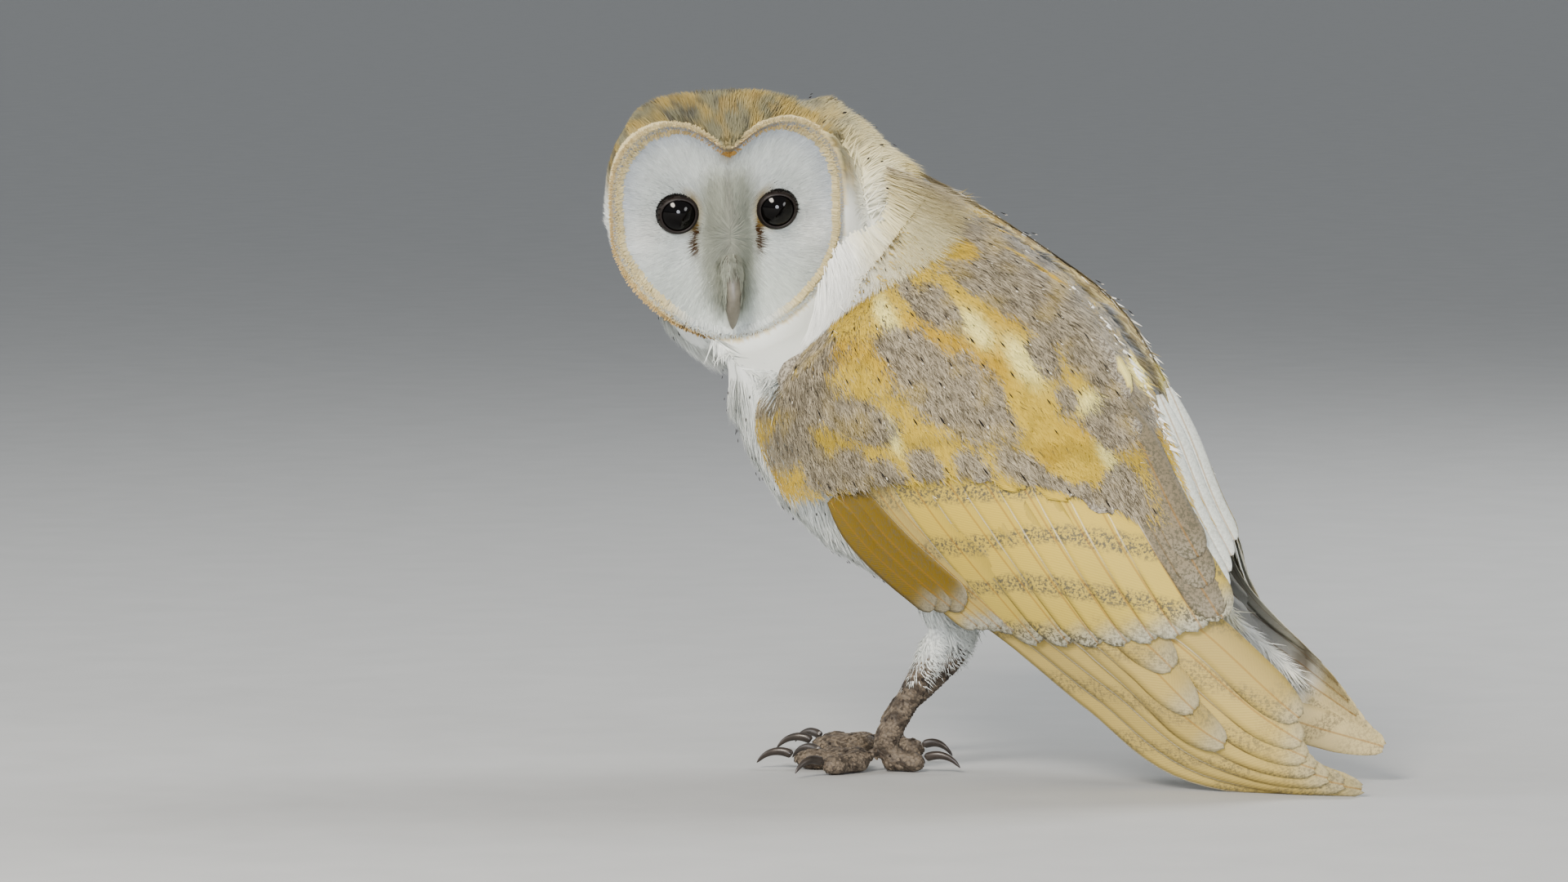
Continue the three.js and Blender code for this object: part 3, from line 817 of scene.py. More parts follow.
def contourMaterial(name):
    # firm covert feathers: golden webs, fine grey stipple towards the tip
    material, tree, shader, tint, where, quill, mark = featherBase(name, 0.75, 0.03)
    # barbs 0.9 mm apart, about three times real, to show
    _, barbs, tone, dust = webs(tree, tint, where, quill, 7.0, 0.95, 1.03, 1100.0, 0.42)
    stipple = mixed(tree, dust, rgba("A69F8F"), rgba("6B6458"))
    edge = calc(tree, "MULTIPLY_ADD", clouds(tree, where, 260.0), 5.0, quill[2])
    grey = ramp(tree, calc(tree, "SUBTRACT", mark[1], edge), -7.0, 0.0)
    surface(tree, shader, mixed(tree, grey, tone, stipple), barbs, 0.35)
    return material


def flightMaterial(name):
    # stiff blades of wing and tail: golden web, a lower edge pale near the base and painted dark
    # towards the tip as a painted shadow line between blades, speckled bars, mottled tip
    material, tree, shader, tint, where, quill, mark = featherBase(name, 0.6, 0.02)
    side, barbs, tone, dust = webs(tree, tint, where, quill, 5.0, 0.985, 1.01, 900.0, 0.44)
    cloud = clouds(tree, where, 170.0)
    wave = calc(tree, "SINE", calc(tree, "MULTIPLY_ADD", cloud, 1.2, mark[0]))
    bars = ramp(tree, wave, -0.1, 0.9)
    wander = calc(tree, "MULTIPLY_ADD", cloud, 9.0, quill[2])
    near = calc(tree, "SUBTRACT", calc(tree, "SUBTRACT", wander, 4.5), mark[2])
    marked = calc(tree, "MAXIMUM", bars, ramp(tree, near, -5.0, 3.0, 0.55, 0.0))
    speckle = calc(tree, "MULTIPLY_ADD", dust, 0.9, 0.1)
    amount = calc(tree, "MULTIPLY", calc(tree, "MULTIPLY", marked, speckle), mark[1])
    tone = mixed(tree, amount, tone, rgba("625D4C"))
    edge = calc(tree, "MULTIPLY", ramp(tree, quill[0], 0.91, 0.99), 0.5)
    base = ramp(tree, quill[2], 22.0, 42.0, kind="LINEAR")  # the edge is pale near the base, and painted dark towards the tip as a painted shadow line between the blades
    tone = mixed(tree, edge, tone, mixed(tree, base, rgba("6B5836"), rgba("F0EAD6")))
    shaft = calc(tree, "MULTIPLY", band(tree, side, -1.0, 0.35, 0.15), 0.5)
    surface(tree, shader, mixed(tree, shaft, tone, rgba("8F6A30")), barbs, 0.12)
    return material


faceDown = downMaterial("faceBarbs", 0.04, 0.10)
bodyDown = downMaterial("softDown", 0.06, 0.08)
napeDown = downMaterial("napeFeathers", 0.04, 0.14)
covertWeb = contourMaterial("covertWebs")
flightWeb = flightMaterial("flightWebs")


def legMaterial():
    # bare skin of toes and tarsi, rough with small warty plates
    material, tree, shader = newMaterial("scalyLegSkin", {"Roughness": 0.62, "IOR": 1.45})
    where = add(tree, "TexCoord", out=3)
    plates = add(tree, "TexVoronoi", {"Vector": where, "Scale": 750.0}, feature="F1")
    light = ramp(tree, plates, 0.0, 0.8, 1.12, 0.6, "LINEAR")
    tint = add(tree, "Attribute", attribute_name="tint")
    surface(tree, shader, mixed(tree, 1.0, tint, light, "MULTIPLY"), plates, 0.8, 0.0006, True)
    return material


def finishSkin():
    # feathered skin carries the coat's own markings
    material, tree, shader, tint, *_ = featherBase("featheredSkin", 0.9, 0.1)
    surface(tree, shader, tint)
    mesh = skin.data
    mesh.materials.clear()
    mesh.materials.append(material)
    mesh.materials.append(legMaterial())
    tint = bodyTint(skinPoints, skinParts)
    h = toHead(skinPoints)
    share = discShare(h[:, 0], h[:, 1])
    face = (skinParts == 0) & (share < 1) & (h[:, 2] > 5)
    tint[face] = faceTint(h[face, 0], h[face, 1])
    rim = face & (share > 0.93)
    tint[rim] = rimTint(np.arctan2(h[rim, 1], h[rim, 0]), 0.38)
    paint(mesh, tint)
    legParts = [i for i, name in enumerate(fleshParts) if partKind(name) in ("toe", "tarsus")]
    bare = np.isin(skinParts, legParts)
    firsts = [face.vertices[0] for face in mesh.polygons]
    mesh.polygons.foreach_set("material_index", bare[firsts].astype(np.int32))
    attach(skin, "root")
    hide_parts(*fleshParts)

finishSkin()
print("skin coloured")

# face

faceCoat = dict(spacing=0.37, length=(2.0, 6.0), width=0.46, thick=0.1, seed=11)


def faceFlow(x, y):  # outwards from a parting down the bridge and across below the eyes
    side = np.where(x < 0, -1.0, 1.0)
    aside = np.maximum(np.abs(x) - 6, 0) + 1.3
    return unit(np.stack([side * aside, y - np.clip(0.35 * y - 1, -14, 8)], -1))


def eyeCushion(x, y):  # the feathers swell round the lids
    return 1.5 * smooth(fromEye(x, y), 13, 7.3)


def rimWide(angle):  # how broad the disc's stiff edge is, in mm
    turn = np.degrees(angle) % 360
    return np.interp(turn, [0, 25, 50, 80, 90, 100, 135, 165, 185, 205, 235, 262, 300, 335, 360],
                     [1.9, 2.8, 4.0, 3.0, 2.2, 3.0, 4.2, 3.2, 3.2, 4.6, 4.0, 2.6, 2.3, 1.9, 1.9])


def buildFace():
    rng = np.random.default_rng(faceCoat["seed"])
    step = faceCoat["spacing"]
    x, y = np.meshgrid(np.arange(-52, 52, step), np.arange(-48, 52, step))
    x, y = (q.ravel() + rng.uniform(-0.5, 0.5, q.size) * step for q in (x, y))
    room = discReach(np.arctan2(y, x)) - rimWide(np.arctan2(y, x)) - np.hypot(x, y)
    eye = fromEye(x, y)
    bill = (np.abs(x) < 2.7) & (y < -15) & (y > -37)
    keep = (room > -0.6) & (eye > 6.7) & ~bill
    x, y, room, eye = x[keep], y[keep], room[keep], eye[keep]
    flat = faceFlow(x, y)
    near = 0.3
    slope = np.stack([faceHeight(x + near, y) - faceHeight(x - near, y),
                      faceHeight(x, y + near) - faceHeight(x, y - near)], -1) / (2 * near)
    up = unit(np.stack([-slope[:, 0], -slope[:, 1], np.ones(len(x))], -1))
    along = unit(np.hstack([flat, np.sum(flat * slope, -1, keepdims=True)]))
    lean = 0.16 * grain(np.stack([x, y, 0 * x], -1), 7, 2.6)
    along = turned(along, up, lean + rng.normal(0, 0.06, len(x)))
    roots = np.stack([x, y, faceHeight(x, y) - 1.5 + eyeCushion(x, y)], -1)
    low, high = faceCoat["length"]
    length = (low + (high - low) * smooth(eye, 7, 18)) * rng.uniform(0.8, 1.2, len(x))
    length = np.minimum(length, np.maximum(room + 1.6, 2.4))
    batch = grow(barbShape(), fromHead(roots), along @ axes, up @ axes, length,
                 faceCoat["width"] * rng.uniform(0.7, 1.3, len(x)), faceCoat["thick"],
                 rng.uniform(0.5, 1.0, len(x)), 0.01, sink=0.3)
    source = np.arctan2(flat[:, 1], flat[:, 0])
    rays = grain(np.stack([source * 14, np.hypot(x, y) * 0.12, np.sign(x) * 9], -1), 1.0, 4.1)
    tint = shaded(faceTint(x, y) * (1 + 0.12 * rays[:, None]), rng, 0.09)
    bake = aroundFace(x, y)
    for name, part in (("faceBarbsRight", x < 0), ("faceBarbsLeft", x >= 0)):
        half = {key: (value if key == "shape" else value[part]) for key, value in batch.items()}
        joined(name, [dressed(half, tint[part], bake[part])], faceDown)


buildFace()

# rim of the disc

rimCoat = dict(rows=[0.95, 0.8, 0.66, 0.53, 0.4, 0.28, 0.16, 0.05, -0.04], step=0.5, width=0.8,
               length=2.6, thick=0.16, radius=46, seed=23)


def buildRim():
    rng = np.random.default_rng(rimCoat["seed"])
    shape = tuftShape([0.6], scaleOutline)
    batches = []
    for row, inset in enumerate(rimCoat["rows"]):
        step = rimCoat["step"] / rimCoat["radius"]
        angle = np.arange(0, 2 * math.pi, step) + 0.5 * (row % 2) * step
        angle = angle + rng.normal(0, 0.003, len(angle))
        count = len(angle)
        length = rimCoat["length"] * rng.uniform(0.8, 1.15, count)
        inset = inset + rng.normal(0, 0.05, count)
        r = discReach(angle) - rimWide(angle) * inset - length * 0.9 - 0.2
        x, y = r * np.cos(angle), r * np.sin(angle)
        edge = [discReach(a) * np.exp(1j * a) for a in (angle + 0.01, angle - 0.01)]
        along = edge[0] - edge[1]
        outward = unit(np.stack([along.imag, -along.real], -1))
        along = unit(np.hstack([outward, np.full((count, 1), 0.45 - 0.04 * row)]))
        along = unit(along + rng.normal(0, 0.09, along.shape))
        level = np.stack([-outward[:, 1], outward[:, 0], 0 * angle], -1)
        up = unit(np.cross(level, along))
        up = np.where(up[:, 2:] < 0, -up, up)
        z = faceHeight(x, y) - 0.7 - 0.18 * row
        batch = grow(shape, fromHead(np.stack([x, y, z], -1)), along @ axes, up @ axes, length,
                     rimCoat["width"] * rng.uniform(0.75, 1.2, count), rimCoat["thick"], 0.3, 0.02)
        tint = rimTint(angle, inset + rng.normal(0, 0.08, count))
        low = smooth(np.abs(np.degrees(angle) % 360 - 262), 42, 18)
        dark = low * (inset < 0.6) * (rng.random(count) < 0.6) * rng.uniform(0.5, 1, count)
        tint = shaded(blend(tint, tones["rimDark"], dark), rng, 0.15)
        batches.append(dressed(batch, tint, aroundFace(x, y, 112)))
    joined("discRim", batches, napeDown)


buildRim()


# soft body feathers

coats = {
    "crownFeathers": dict(kinds=["head"], spacing=0.58, length=4.8, width=0.95, thick=0.14,
                          rise=0.9, bend=0.012, seed=31, slot="nape_feathers"),
    "neckFeathers": dict(kinds=["neck"], spacing=0.68, length=8, width=0.95, thick=0.14, rise=1.2,
                         bend=0.016, seed=32, slot="breast_feathers"),
    "bodyFeathers": dict(kinds=["trunk", "thigh"], spacing=1.02, length=10, width=1.5, thick=0.2,
                         rise=1.6, bend=0.016, seed=33, slot="breast_feathers"),
    "mantleFeathers": dict(kinds=["mantle"], spacing=0.7, length=8, width=1.1, thick=0.14,
                           rise=2.8, bend=0.014, seed=34, slot="covert_feathers"),
    "wingDown": dict(kinds=["coverts"], spacing=1.15, length=5.5, width=1.3, thick=0.16, rise=0.8,
                     bend=0.01, seed=35, slot="covert_feathers"),
}


def wingLookup():
    s, t = np.meshgrid(np.linspace(-0.4, 5, 72), np.linspace(-0.15, 1.15, 40), indexing="ij")
    grids = {}
    for side in bothSides:
        places = wingPoint(side, s.ravel(), t.ravel())[0]
        tree = KDTree(len(places))
        for i, place in enumerate(places):
            tree.insert(place, i)
        tree.balance()
        grids[side] = tree
    return grids, s.ravel(), t.ravel()


wingTrees, gridS, gridT = wingLookup()


def onWing(side, p):  # s and t of the places on the wing that are nearest to p
    nearest = np.array([wingTrees[side].find(q)[1] for q in p])
    return gridS[nearest], gridT[nearest]

covertRows = dict(
    greater=[(-0.06, 2.05), (0.04, 2.36), (0.17, 2.7), (0.42, 3.28), (0.57, 3.86), (0.76, 4.8),
             (0.92, 5.2)],
    median=[(-0.06, 0.9), (0.09, 1.32), (0.28, 2.14), (0.52, 2.94), (0.71, 3.5), (0.86, 4.0),
            (1.04, 4.4)],
    lesser=[(-0.06, 0.45), (0.16, 1.0), (0.28, 1.5), (0.5, 2.3), (0.7, 3.0), (0.86, 3.35),
            (1.08, 3.6)],
    step=0.42, count=11, thick=0.15, seed=51)

# soft patches on the wing: s, t, half length, half width, slant of t per s
greyPatches = [
    (1.3, 0.9, 1.15, 0.11, 0), (2.6, 0.93, 1.0, 0.09, 0), (3.4, 0.88, 0.5, 0.13, 0),
    (1.25, 0.78, 0.5, 0.045, 0), (2.42, 0.785, 0.28, 0.035, 0), (3.05, 0.79, 0.22, 0.03, 0),
    (1.33, 0.65, 0.38, 0.045, 0), (0.95, 0.6, 0.45, 0.025, 0), (0.6, 0.2, 0.6, 0.08, 0.1),
    (2.35, 0.54, 0.75, 0.1, 0.06), (1.6, 0.5, 0.35, 0.06, 0.1), (3.5, 0.565, 0.33, 0.045, 0.05),
    (1.32, 0.16, 0.38, 0.085, 0.1), (1.95, 0.27, 0.4, 0.06, 0.12), (2.4, 0.17, 0.32, 0.055, 0),
    (2.05, 0.09, 0.35, 0.05, 0), (2.72, 0.24, 0.24, 0.04, 0), (2.9, 0.35, 0.22, 0.04, 0),
    (3.2, 0.45, 0.24, 0.04, 0), (4.3, 0.67, 0.32, 0.04, 0), (4.45, 0.77, 0.42, 0.075, 0),
    (3.9, 0.62, 0.25, 0.03, 0.1), (0.8, 0.04, 0.35, 0.1, 0), (1.55, 0.04, 0.25, 0.09, 0)]
goldPatches = [
    (0.7, 0.84, 0.28, 0.05, 0), (2.0, 0.72, 0.75, 0.045, 0), (3.2, 0.83, 0.28, 0.05, 0),
    (3.0, 0.985, 0.35, 0.03, 0), (1.2, 0.955, 0.5, 0.012, 0.04), (3.75, 0.72, 0.45, 0.07, 0),
    (2.9, 0.69, 0.4, 0.045, 0)]
yellowPatches = [
    (1.75, 0.69, 0.3, 0.035, 0), (2.35, 0.74, 0.4, 0.035, 0), (3.2, 0.83, 0.2, 0.045, 0),
    (3.0, 0.985, 0.3, 0.025, 0), (2.35, 0.33, 0.25, 0.02, -0.05), (1.0, 0.5, 0.5, 0.03, 0),
    (3.95, 0.79, 0.3, 0.02, 0)]


def patchwork(s, t, patches):
    s0, t0, long, wide, slant = np.array(patches).T
    ds = s[..., None] - s0
    dt = t[..., None] - t0 - slant * ds
    return np.exp(-(((ds / long) ** 2 + (dt / wide) ** 2) ** 1.5)).max(-1)


def wingSpot(s, t):  # about in millimetres, for noise
    return np.stack([s * wingSpan, t * wingChord, 0 * s], -1)


def greyness(s, t):
    pull = patchwork(s, t, greyPatches) - 0.8 * patchwork(s, t, goldPatches)
    return smooth(pull + 0.2 * grain(wingSpot(s, t), 5, 8.8), -0.16, 0.57)


def wingTint(s, t):
    spot = np.stack([s * 25, t * 90, 0 * s], -1)
    tint = blend(tones["gold"], tones["orange"], smooth(grain(spot, 16, 4.4), -0.1, 0.5) * 0.6)
    tint = blend(tint, tones["yellow"], np.clip(1.1 * patchwork(s, t, yellowPatches), 0, 1))
    return blend(tint, tones["orange"], smooth(t, 0.1, -0.02) * 0.2)


def greyTint(s, t, dust):  # pearl grey, finely speckled; bluer towards the back
    tint = blend(tones["greyLight"], tones["greyDark"], np.clip(dust, 0, 1))
    tint = blend(tint, tones["slate"], 0.6 * smooth(t, 0.9, 1.02))
    return blend(tint, tones["gold"], 0.25 * smooth(grain(wingSpot(s, t), 7, 3.3), 0, 0.5))


def wingFringe(p, normal):  # true on the inner side, and where the wing leaves the body
    keep = np.zeros(len(p), bool)
    for side in bothSides:
        here = (p[:, 0] > 0) == (side == "left")
        s, t = onWing(side, p[here])
        facing = np.sum(normal[here] * wingPoint(side, s, t)[1], -1)
        last = np.interp(t, *np.array(covertRows["greater"]).T)
        keep[here] = (facing < -0.4) | (s < 0.35) | ((t > 0.95) & (s < last - 0.5))
    return keep


def matchWing(p, normal, tint, bake):  # the wing's own colours outside, white within
    grey = blend(tones["greyLight"], tones["greyDark"], 0.35)
    for side in bothSides:
        here = (p[:, 0] > 0) == (side == "left")
        s, t = onWing(side, p[here])
        inner = np.sum(normal[here] * wingPoint(side, s, t)[1], -1) < 0
        outside = blend(wingTint(s, t), grey, 0.8 * greyness(s, t))
        tint[here] = np.where(inner[:, None], tones["under"], outside)
        bake[here] = np.stack([(s + 0.5) / 12 + 0.5 * inner, 0.1 + 0.8 * t], -1)


def mottled(tint, p):  # fine light and dark spots from tuft to tuft
    return tint * (1 + 0.14 * grain(p, 1.6, 4.6))[:, None]


def coatPiece(name):
    form = coats[name]
    p, normal, parts, rng = rootsOn(form["kinds"], form["spacing"], form["seed"])
    h = toHead(p)
    share = discShare(h[:, 0], h[:, 1])
    front = (share < 0.985) & (h[:, 2] > faceHeight(h[:, 0], h[:, 1]) - 7) & (parts == 0)
    keep = ~front
    if "coverts" in form["kinds"]:  # only the inner side, and a fringe where the wing begins
        keep &= wingFringe(p, normal)
    p, normal, parts, h, share = p[keep], normal[keep], parts[keep], h[keep], share[keep]
    count = len(p)
    swing = 0.2 * grain(p, 6, 1.9) + rng.normal(0, 0.08, count)
    along = turned(featherFlow(p, normal, parts), normal, swing)
    tint = bodyTint(p, parts)
    mark = np.zeros((count, 3))
    mark[:, 2] = rng.uniform(0, 50, count)
    bake = aroundHead(p) if name == "crownFeathers" else aroundBody(p)
    if "coverts" in form["kinds"]:
        matchWing(p, normal, tint, bake)
    mark[:, 0] = rng.random(count) < 0.004 + 0.012 * smooth(napeward(p), 5, 20)
    tint = shaded(mottled(tint, p), rng, 0.11)
    if name == "mantleFeathers":
        streaks = grain(np.stack([p[:, 0] * 3, p[:, 1], p[:, 2]], -1), 5, 6.6)
        dark = smooth(streaks, 0.3, 0.5) * smooth(p[:, 1], 16, 30)
        tint = blend(tint, tones["ink"], 0.45 * dark)
    collar = smooth(share, 1.55, 1.1) * smooth(h[:, 1], 16, 0) * smooth(h[:, 2], -20, -2)
    if name == "neckFeathers":  # long locks close over the front of the wing
        near = np.array([min(tree.find(q)[2] for tree in wingTrees.values()) for q in p])
        collar = np.maximum(collar, smooth(near, 13, 4))
        warm = smooth(near, 8, 0) * smooth(p[:, 2], 165, 195)
        tint = blend(tint, tones["gold"], 0.8 * warm)
    length = form["length"] * (1 + 0.9 * collar) * rng.uniform(0.75, 1.2, count)
    lift = rng.uniform(0.5, 1.3, count)
    if name == "crownFeathers":
        lift = lift * (1 + 1.8 * smooth(normal[:, 2], 0.5, 0.95))
    if name == "neckFeathers":
        lift = lift * (1 + 2.0 * smooth(near, 11, 3) * smooth(normal[:, 1], -0.6, 0.1))
    batch = grow(barbShape(), p, along, normal, length,
                 form["width"] * rng.uniform(0.6, 1.35, count), form["thick"], form["rise"] * lift,
                 form["bend"])
    material = napeDown if name == "crownFeathers" else bodyDown
    joined(name, [dressed(batch, tint, bake, mark)], material)


for coatName in coats:
    coatPiece(coatName)

dotForm = dict(spacing=8.0, size=(1.5, 0.95), thick=0.3, lift=2.3, seed=39)


def buildDots():  # small dark drops scattered over breast, neck and crown
    p, normal, parts, rng = rootsOn(["neck", "trunk", "head"], dotForm["spacing"], dotForm["seed"])
    h = toHead(p)
    keep = (discShare(h[:, 0], h[:, 1]) > 1.12) | (h[:, 2] < 8)
    keep &= (p[:, 2] > 70) & (rng.random(len(p)) < 0.6)
    p, normal, parts = p[keep], normal[keep], parts[keep]
    count = len(p)
    long, wide = dotForm["size"]
    size = rng.uniform(0.6, 1.25, count)
    lift = np.where(parts == 0, 0.8, dotForm["lift"])[:, None]
    batch = grow(tuftShape([0.5], dropOutline, 4), p + normal * lift,
                 featherFlow(p, normal, parts), normal, long * size, wide * size, dotForm["thick"],
                 0.2, 0.02, sink=0.2)
    tint = shaded(np.broadcast_to(tones["ink"], (count, 3)), rng, 0.2)
    joined("plumageDots", [dressed(batch, tint, aroundBody(p))], bodyDown)


buildDots()

# wing coverts


def rowTips(side, rng, line, gap, start, stop, back=0.0):  # where the feathers of a row end
    t, places = start, []
    while t < stop:
        s = np.interp(t, [q[0] for q in line], [q[1] for q in line]) - back
        places.append((s, t))
        t += gap / wingPoint(side, s, t)[2]
    places = np.array(places)
    places += rng.normal(0, 1, places.shape) * (0.04, 0.006)
    s, t = places.T
    return places[(s > 0.5 - 0.3 * smooth(t, 0.9, 0.6)) & (t > 0.01)]


def hug(t):  # 1 on the wing, less at its leading edge, 0 where the upper edge meets the back
    return smooth(t, 1.0, 0.86) * (0.4 + 0.6 * smooth(t, -0.05, 0.14))


covertSizes = dict(  # mm; start is where across the wing the first feather lies
    greater=dict(gap=9.5, start=0.01, length=34, width=18, lift=1.2, tipLift=1.9),
    median=dict(gap=9, start=0.03, length=31, width=17, lift=1.2, tipLift=2.0),
    lesser=dict(gap=9, start=0.05, length=28, width=16, lift=1.2, tipLift=2.1))


def layRow(side, rng, tips, size, shapes):
    s, t = tips.T
    near = wingPoint(side, s - 0.5, t)[0]
    here = wingPoint(side, s, t)[0]
    scale = np.linalg.norm(here - near, axis=-1) * 2
    long = size["length"] * rng.uniform(0.93, 1.07, len(s))
    root = np.stack([np.maximum(s - long / scale, 0.7), t + 0.03], -1)
    batches = []
    for i, shape in enumerate(shapes):
        mine = np.arange(len(s)) % len(shapes) == i
        count = mine.sum()
        low = hug(t[mine])
        width = size["width"] * rng.uniform(0.93, 1.07, count)
        lift = size["lift"] * low * smooth(root[mine, 0], 0.5, 1.5)
        tipLift = low * (size["tipLift"] + rng.uniform(-0.08, 0.08, count))
        batch = layOnWing(shape, side, root[mine], tips[mine], width, covertRows["thick"],
                          lift, tipLift)
        place = batch["st"]
        ahead = batch["quill"][..., 2]
        grey = greyness(place[..., 0], place[..., 1])
        mark = np.stack([0 * grey, -2 + ahead + 7 * (grey * 2 - 1), 0 * grey], -1)
        tint = wingTint(place[..., 0], place[..., 1])
        tint = np.clip(tint * (1 + 0.05 * rng.uniform(-1, 1, (count, 1, 1))), 0, 1)
        bake = aroundWing(s[mine], t[mine])
        batches.append(dressed(batch, tint, bake, mark, tones["under"]))
    return batches


markForm = dict(streak=(5.0, 1.6, 0.62), drop=(1.9, 0.5, 0.6), lift=3.0)  # mm from the tip, width


def layMarks(side, tips, rng):  # a black shaft streak at each covert's end, a pale drop in the grey
    shape = tuftShape([0.5], dropOutline, 4)
    batches = []
    for key, tone in (("streak", "ink"), ("drop", "greyPale")):
        start, stop, width = markForm[key]
        s, t = (tips if key == "streak" else tips[greyness(*tips.T) > 0.5]).T
        step = wingPoint(side, s, t)[0] - wingPoint(side, s - 0.2, t)[0]
        scale = np.linalg.norm(step, axis=-1) * 5
        size = np.clip(0.55 + 0.16 * s, 0.5, 1.0) * rng.uniform(0.7, 1.15, len(s))
        swing = rng.normal(0, 0.004, len(s))
        root = np.stack([s - start * size / scale, t + swing], -1)
        tip = np.stack([s - stop * size / scale, t + swing], -1)
        batch = layOnWing(shape, side, root, tip, width * size, 0.4, markForm["lift"] - 0.3,
                          markForm["lift"] + 0.2, droop=0)
        tint = shaded(np.broadcast_to(tones[tone], (len(s), 3)), rng, 0.1)
        bake = aroundWing(s, t) + (0, 0.003 * (key == "drop"))
        batches.append(dressed(batch, tint, bake))
    joined(f"shaftMarks{side.title()}", batches, bodyDown)


frecklePatches = [(1.4, 0.43, 0.4, 0.08, 0), (0.9, 0.35, 0.5, 0.12, 0), (1.0, 0.62, 0.6, 0.06, 0)]
pileForm = dict(step=0.021, gap=0.52, length=3.8, width=0.62, thick=0.1, scallop=4.7, seed=57)


def paleRimsAndShadows(side, s, t, tips):  # pale rim at the end of the covert that each place lies on, and a painted shadow just beyond that end
    tree = KDTree(len(tips))
    middles = wingPoint(side, *tips.T)[0]
    ahead = wingPoint(side, tips[:, 0] + 0.1, tips[:, 1])[0] - middles
    middles = middles - unit(ahead) * pileForm["scallop"]
    for i, middle in enumerate(middles):
        tree.insert(middle, i)
    tree.balance()
    places = wingPoint(side, s, t)[0]
    found = [tree.find(place)[1] for place in places]
    off = places - middles[found]
    r = np.linalg.norm(off, axis=-1) / pileForm["scallop"]
    facing = smooth(np.sum(unit(off) * unit(ahead)[found], -1), -0.3, 0.4)
    return 1 + facing * (0.07 * smooth(r, 0.5, 0.9) - 0.26 * smooth(r, 0.95, 1.15))


def buildPile(side, tips):  # velvet of loose barb ends over the coverts, which blurs their edges
    rng = np.random.default_rng(pileForm["seed"])
    places = []
    for s in np.arange(0.05, 5.2, pileForm["step"]):
        wide = wingPoint(side, s, 0.5)[2]
        t = np.arange(-0.06, 1.0, pileForm["gap"] / float(wide))
        places.append(np.stack([s + 0 * t, t], -1))
    places = np.concatenate(places)
    places += rng.uniform(-1, 1, places.shape) * (pileForm["step"] / 2, 0.006)
    s, t = places.T
    last = np.interp(t, *np.array(covertRows["greater"]).T) - 0.07 + 0.05 * rng.normal(0, 1, len(s))
    first = 0.2 - 0.15 * smooth(t, 0.9, 0.6)
    keep = (s < last) & (s > first)
    s, t, last = s[keep], t[keep], last[keep]
    count = len(s)
    root = np.stack([s, t], -1)
    length = pileForm["length"] * rng.uniform(0.7, 1.2, count)
    tip = root + np.stack([length / 27, rng.normal(0, 0.008, count)], -1)
    rise = rng.uniform(0.35, 1.0, count)
    width = pileForm["width"] * rng.uniform(0.7, 1.3, count)
    lift = (2.0 - 2.2 * smooth(s, 0.9, 0.1)) * hug(t)
    batch = layOnWing(barbShape(), side, root, tip, width, pileForm["thick"], lift,
                      (2.3 + 0.6 * rise) * hug(t), droop=0)
    place = batch["points"][:, 0]
    ripple = grain(place, 1.2, 1.7)
    stipple = greyTint(s, t, 0.4 + 0.8 * ripple + rng.uniform(-0.5, 0.5, count))
    grey = greyness(s, t)
    picked = rng.random(count) < smooth(grey, 0.05, 0.95)
    tint = blend(wingTint(s, t), stipple, 0.2 * grey + 0.75 * picked)
    # painted shade: a paler rim at each covert's end and a painted shadow just past it
    tint = tint * paleRimsAndShadows(side, s, t, tips)[:, None]
    freckle = (rng.random(count) < 0.02 + 0.10 * patchwork(s, t, frecklePatches)) * (t > 0.05)
    tint = blend(tint, tones["greyDark"], 0.8 * freckle)
    tint = shaded(tint, rng, 0.06)
    bake = aroundWing(s, t)
    joined(f"covertPile{side.title()}", [dressed(batch, tint, bake)], bodyDown)


def buildCoverts(side):
    rng = np.random.default_rng(covertRows["seed"])
    shapes = [vaneShape(10, 9, contourOutline, 0.10, seed) for seed in (1, 2, 3)]
    rows = [rowTips(side, rng, covertRows[key], size["gap"], size["start"], 0.9)
            for key, size in covertSizes.items()]
    batches = []
    for key, row in zip(covertSizes, rows):
        shown = row if key == "greater" else row[row[:, 0] > 1.3]
        batches += layRow(side, rng, shown, covertSizes[key], shapes)
    joined(f"coverts{side.title()}", batches, covertWeb, False)
    for row in range(1, covertRows["count"]):
        rows.append(rowTips(side, rng, covertRows["lesser"], 8.6 * (1 - 0.045 * row),
                            0.03 * (row % 2), 0.98, covertRows["step"] * row))
    tips = np.concatenate(rows)
    layMarks(side, tips[rng.random(len(tips)) < 0.9], rng)
    buildPile(side, tips)


for wingSide in bothSides:
    buildCoverts(wingSide)

lockForm = dict(count=8000, length=(9, 16), width=0.8, thick=0.14, seed=59)


